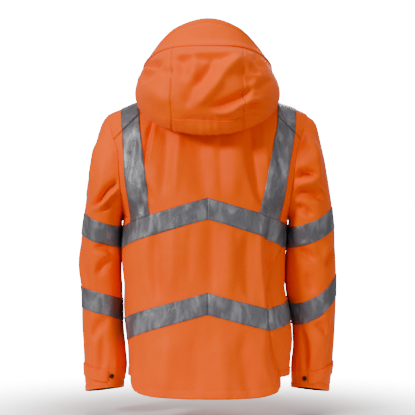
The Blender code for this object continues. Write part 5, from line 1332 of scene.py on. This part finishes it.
sideShares = finer([0.0, 0.5, 0.56, 1.0], 0.0125)
for side in (left, right):
    beside = hoodForm["peakEnd"] + hoodForm["peakGap"]
    angle = np.array([[np.interp(s, (0, 0.5, 1), (a, beside, hoodForm["end"])) for a in seam] for s in sideShares])
    extra = (hoodForm["brimRow"] - hoodForm["peakRow"]) * eased((angle - beside) / hoodForm["peakNotch"])
    at = hoodAt[None] * (hoodForm["peakRow"] + extra) / hoodForm["peakRow"]
    bare, relief, normals = hoodSurface(side * angle, at, ("last column",), ("first column", "last row"))
    points = bare + relief[..., None] * normals
    points[0] += 0.0006 * unit(points[0] - points[1]) + 0.00004 * normals[0]     # lapped over the centre panel
    shellPiece({"name": "hoodSide" + sideName[side].capitalize(), "node": "hood_side_" + sideName[side],
                "slot": "shell_fabric", "flat": (0.32, 0.44), "area": 0.068}, points, normals, wovenShell,
               gaps=(0, 0, 0, gap))
    surface = points + (0.5 * cloth["shell"] + 0.0001) * normals
    seamLines.append(surface[2:38, -3])

peakSeam = float(hoodSeamAngle(np.array(hoodForm["peakRow"])))
angles = np.linspace(-hoodForm["peakEnd"], hoodForm["peakEnd"], 131)
peakAt = np.linspace(hoodForm["peakRow"] - 0.16, hoodForm["brimRow"], 23)    # lapped over the hood
angle, at = np.meshgrid(angles, peakAt, indexing="ij")
bare, relief, normals = hoodSurface(angle, at, ("first column", "last column"), ())
relief += hemGroove(bare, "last row", 0.012, 0.0008) 
relief += 0.0024 * eased((0.022 - toBorder(bare, "first row")) / 0.016)
relief += 0.0010 * softNoise(bare, (0.05, 0.05, 0.03), 9)
peakPoints = bare + relief[..., None] * normals
shellPiece({"name": "hoodPeak", "node": "hood_peak", "slot": "shell_fabric", "flat": (0.43, 0.07), "area": 0.0205},
           peakPoints, normals, wovenShell, gaps=(0, 0, gap, 0))
surface = peakPoints + (0.5 * cloth["shell"] + 0.0001) * normals
seamLines.extend([surface[2:-2, 2], surface[2:-2, -4]])
print("hood made")


# stitches and zip teeth, repeated along their lines

stitchForm = {"length": 0.0030, "gap": 0.0012, "thread": 0.00045, "seed": 3}
toothForm = {"pitch": 0.0026, "size": (0.0034, 0.0013, 0.0015)}


def linesObject(name, lines):
    points = np.concatenate(lines)
    edges, start = [], 0
    for line in lines:
        edges += [(start + i, start + i + 1) for i in range(len(line) - 1)]
        start += len(line)
    mesh = bpy.data.meshes.new(name)
    mesh.from_pydata(points.tolist(), edges, [])
    made = bpy.data.objects.new(name, mesh)
    bpy.context.scene.collection.objects.link(made)
    return made


def newTree(name, sockets):
    tree = bpy.data.node_groups.new(name, "GeometryNodeTree")
    tree.interface.new_socket("Geometry", in_out="INPUT", socket_type="NodeSocketGeometry")
    for label, kind, value in sockets:
        made = tree.interface.new_socket(label, in_out="INPUT", socket_type=kind)
        if value is not None:
            made.default_value = value
    tree.interface.new_socket("Geometry", in_out="OUTPUT", socket_type="NodeSocketGeometry")
    return tree, addNode(tree, "NodeGroupInput").outputs


def treeForStitches():
    tree, given = newTree("stitchesAlongLines", (
        ("Stitch length", "NodeSocketFloat", 0.003), ("Gap", "NodeSocketFloat", 0.001),
        ("Thread thickness", "NodeSocketFloat", 0.0005), ("Seed", "NodeSocketInt", 0), ("Thread", "NodeSocketMaterial", None)))
    curve = addNode(tree, "GeometryNodeMeshToCurve", {"Mesh": given["Geometry"]}).outputs["Curve"]
    pitch = addNode(tree, "ShaderNodeMath", {0: given["Stitch length"], 1: given["Gap"]}, operation="ADD").outputs[0]
    spots = addNode(tree, "GeometryNodeCurveToPoints", {"Curve": curve, "Length": pitch}, mode="LENGTH")
    halfLength = addNode(tree, "ShaderNodeMath", {0: given["Stitch length"], 1: 0.5}, operation="MULTIPLY").outputs[0]
    size = addNode(tree, "ShaderNodeCombineXYZ", {"X": given["Thread thickness"], "Y": given["Thread thickness"],
                                                  "Z": halfLength}).outputs[0]
    grain = addNode(tree, "GeometryNodeMeshUVSphere", {"Segments": 6, "Rings": 4, "Radius": 1.0}).outputs["Mesh"]
    grain = addNode(tree, "GeometryNodeTransform", {"Geometry": grain, "Scale": size}).outputs["Geometry"]
    slack = addNode(tree, "FunctionNodeRandomValue", {"Seed": given["Seed"]}, data_type="FLOAT")
    slack.inputs[2].default_value, slack.inputs[3].default_value = 0.86, 1.08
    placed = addNode(tree, "GeometryNodeInstanceOnPoints", {"Points": spots.outputs["Points"], "Instance": grain,
                                                            "Rotation": spots.outputs["Rotation"],
                                                            "Scale": slack.outputs[1]}).outputs[0]
    real = addNode(tree, "GeometryNodeRealizeInstances", {"Geometry": placed}).outputs[0]
    done = addNode(tree, "GeometryNodeSetMaterial", {"Geometry": real, "Material": given["Thread"]}).outputs[0]
    addNode(tree, "NodeGroupOutput", {"Geometry": done})
    return tree


def treeForTeeth():
    tree, given = newTree("teethAlongZip", (
        ("Pitch", "NodeSocketFloat", 0.0026), ("Tooth size", "NodeSocketVector", (0.003, 0.001, 0.001)),
        ("Teeth", "NodeSocketMaterial", None)))
    curve = addNode(tree, "GeometryNodeMeshToCurve", {"Mesh": given["Geometry"]}).outputs["Curve"]
    spots = addNode(tree, "GeometryNodeCurveToPoints", {"Curve": curve, "Length": given["Pitch"]}, mode="LENGTH")
    tooth = addNode(tree, "GeometryNodeMeshCube", {"Size": given["Tooth size"]}).outputs["Mesh"]
    placed = addNode(tree, "GeometryNodeInstanceOnPoints", {"Points": spots.outputs["Points"], "Instance": tooth}).outputs[0]
    real = addNode(tree, "GeometryNodeRealizeInstances", {"Geometry": placed}).outputs[0]
    done = addNode(tree, "GeometryNodeSetMaterial", {"Geometry": real, "Material": given["Teeth"]}).outputs[0]
    addNode(tree, "NodeGroupOutput", {"Geometry": done})
    return tree


def grown(source, tree, values, name):
    modifier = source.modifiers.new("grow", "NODES")
    modifier.node_group = tree
    for item in tree.interface.items_tree:
        if item.in_out == "INPUT" and item.name in values:
            modifier[item.identifier] = values[item.name]
    graph = bpy.context.evaluated_depsgraph_get()
    mesh = bpy.data.meshes.new_from_object(source.evaluated_get(graph))
    mesh.name = name
    source.modifiers.remove(modifier)
    bpy.data.objects.remove(source, do_unlink=True)
    made = bpy.data.objects.new(name, mesh)
    bpy.context.scene.collection.objects.link(made)
    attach(made, body)
    return made


stitchTree = treeForStitches()
for name, lines, thread, slotName in (("tapeStitches", tapeLines, greyThread, "reflective_tape"),
                                      ("seamStitches", seamLines, orangeThread, "shell_fabric")):
    made = grown(linesObject(name + "Lines", lines), stitchTree, {
        "Stitch length": stitchForm["length"], "Gap": stitchForm["gap"], "Thread thickness": stitchForm["thread"],
        "Seed": stitchForm["seed"], "Thread": thread}, name)
    print(name, len(made.data.polygons), "faces")

toothLines = []
for side in (left, right):
    line = np.stack([np.full(len(zipLine), side * 0.0013), zipLine[:, 0] - 0.0003, zipLine[:, 1]], axis=-1)
    line[:, 2] += (0.0013 if side == right else 0.0)
    toothLines.append(line[:-1] if side == right else line)
teeth = grown(linesObject("toothLines", toothLines), treeForTeeth(), {
    "Pitch": toothForm["pitch"], "Tooth size": toothForm["size"], "Teeth": toothPlastic}, "zipTeeth")


# the zip's core behind the teeth. The slider, pull and bottom box keep their CAD shapes

core = [np.stack([np.stack([np.full(len(zipLine), x), zipLine[:, 0] + depth, zipLine[:, 1]], axis=-1)
                  for x in (-0.0010, 0.0010)]) for depth in (-0.0026, -0.0004)]
coreObject = clothWall("zipCore", core[0], core[1], toothPlastic)
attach(coreObject, body)
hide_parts("zip_chain")


for node, finish in (("zip_slider", enamel), ("zip_bottom_box", toothPlastic), ("zip_pull", blackAcetal)):
    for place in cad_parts[node].material_slots:
        place.material = finish
print("fastenings made")


# floor, light and camera

studio = {
    "floorZ": -0.80, "floorRadius": 1.6, "world": 0.36, "backdrop": 9.0,
    "lights": (     # name, place, what it points at, size, watts, colour
        ("keyLight", (-2.8, -2.5, 1.15), (0.0, 0.0, -0.3), 0.8, 88.0, (1.0, 0.98, 0.95)),
        ("fillLight", (2.2, -2.7, 0.4), (0.0, 0.0, -0.3), 1.4, 24.0, (1.0, 1.0, 1.0)),
        ("topLight", (0.0, -0.6, 2.4), (0.0, 0.0, -0.2), 1.4, 24.0, (1.0, 1.0, 1.0)),
        ("farLight", (0.4, 3.0, 1.0), (0.0, 0.0, -0.3), 1.6, 45.0, (1.0, 1.0, 1.0))),
}
cameraForm = {"place": (0.0, -3.6, -0.2915), "lens": 127.46, "sensor": 36.0}


def addFloor():
    mesh = bpy.data.meshes.new("paperFloor")
    bm = bmesh.new()
    bmesh.ops.create_circle(bm, cap_ends=True, radius=studio["floorRadius"], segments=96)
    bmesh.ops.translate(bm, verts=bm.verts, vec=(0.0, 0.0, studio["floorZ"]))
    bm.to_mesh(mesh)
    bm.free()
    # matt white paper, which fades out into the room's light
    made, tree, shader = newMaterial("mattPaper", {"Roughness": 0.9, "Specular IOR Level": 0.2})
    place = addNode(tree, "ShaderNodeTexCoord").outputs["Object"]
    flat = addNode(tree, "ShaderNodeMapping", {"Vector": place, "Scale": (1.0, 1.0, 0.0)}).outputs[0]
    reach = addNode(tree, "ShaderNodeVectorMath", {0: flat}, operation="LENGTH").outputs["Value"]
    alpha = addNode(tree, "ShaderNodeMapRange", {"Value": reach, "From Min": 0.25, "From Max": 1.2, "To Min": 1.0,
                                                 "To Max": 0.0}, interpolation_type="SMOOTHERSTEP").outputs["Result"]
    tree.links.new(alpha, shader.inputs["Alpha"])
    grain = addNode(tree, "ShaderNodeTexNoise", {"Vector": place, "Scale": 300.0}).outputs["Fac"]
    colour = addNode(tree, "ShaderNodeMix", {0: grain, 6: linear("#f2f2f2"), 7: linear("#fafafa")}, data_type="RGBA")
    tree.links.new(colour.outputs[2], shader.inputs["Base Color"])
    mesh.materials.append(made)
    floor = bpy.data.objects.new("paperFloor", mesh)
    bpy.context.scene.collection.objects.link(floor)


def addLight(name, place, target, size, watts, colour):
    light = bpy.data.lights.new(name, "AREA")
    light.shape, light.size, light.energy, light.color = "DISK", size, watts, colour
    made = bpy.data.objects.new(name, light)
    made.location = place
    made.rotation_euler = (Vector(target) - Vector(place)).to_track_quat("-Z", "Y").to_euler()
    bpy.context.scene.collection.objects.link(made)


def addCamera():
    lens = bpy.data.cameras.new("studioCamera")
    lens.lens, lens.sensor_width = cameraForm["lens"], cameraForm["sensor"]
    made = bpy.data.objects.new("studioCamera", lens)
    made.location = cameraForm["place"]
    made.rotation_euler = (math.pi / 2, 0.0, 0.0)
    bpy.context.scene.collection.objects.link(made)
    bpy.context.scene.camera = made


def addRoom():
    # an even pale room: what the cloth sees is dimmer than the backdrop behind it
    world = bpy.data.worlds.new("paleRoom")
    world.use_nodes = True
    tree = world.node_tree
    tree.nodes.clear()
    seen = addNode(tree, "ShaderNodeLightPath").outputs["Is Camera Ray"]
    room = addNode(tree, "ShaderNodeBackground", {"Color": (1.0, 1.0, 1.0, 1.0), "Strength": studio["world"]})
    backdrop = addNode(tree, "ShaderNodeBackground", {"Color": (1.0, 1.0, 1.0, 1.0), "Strength": studio["backdrop"]})
    both = addNode(tree, "ShaderNodeMixShader", {0: seen, 1: room.outputs[0], 2: backdrop.outputs[0]})
    addNode(tree, "ShaderNodeOutputWorld", {"Surface": both.outputs[0]})
    bpy.context.scene.world = world


addFloor()
for light in studio["lights"]:
    addLight(*light)
addRoom()
addCamera()
bpy.context.scene.view_settings.view_transform = "AgX"
bpy.context.scene.view_settings.look = "AgX - Medium High Contrast"
print("studio made")
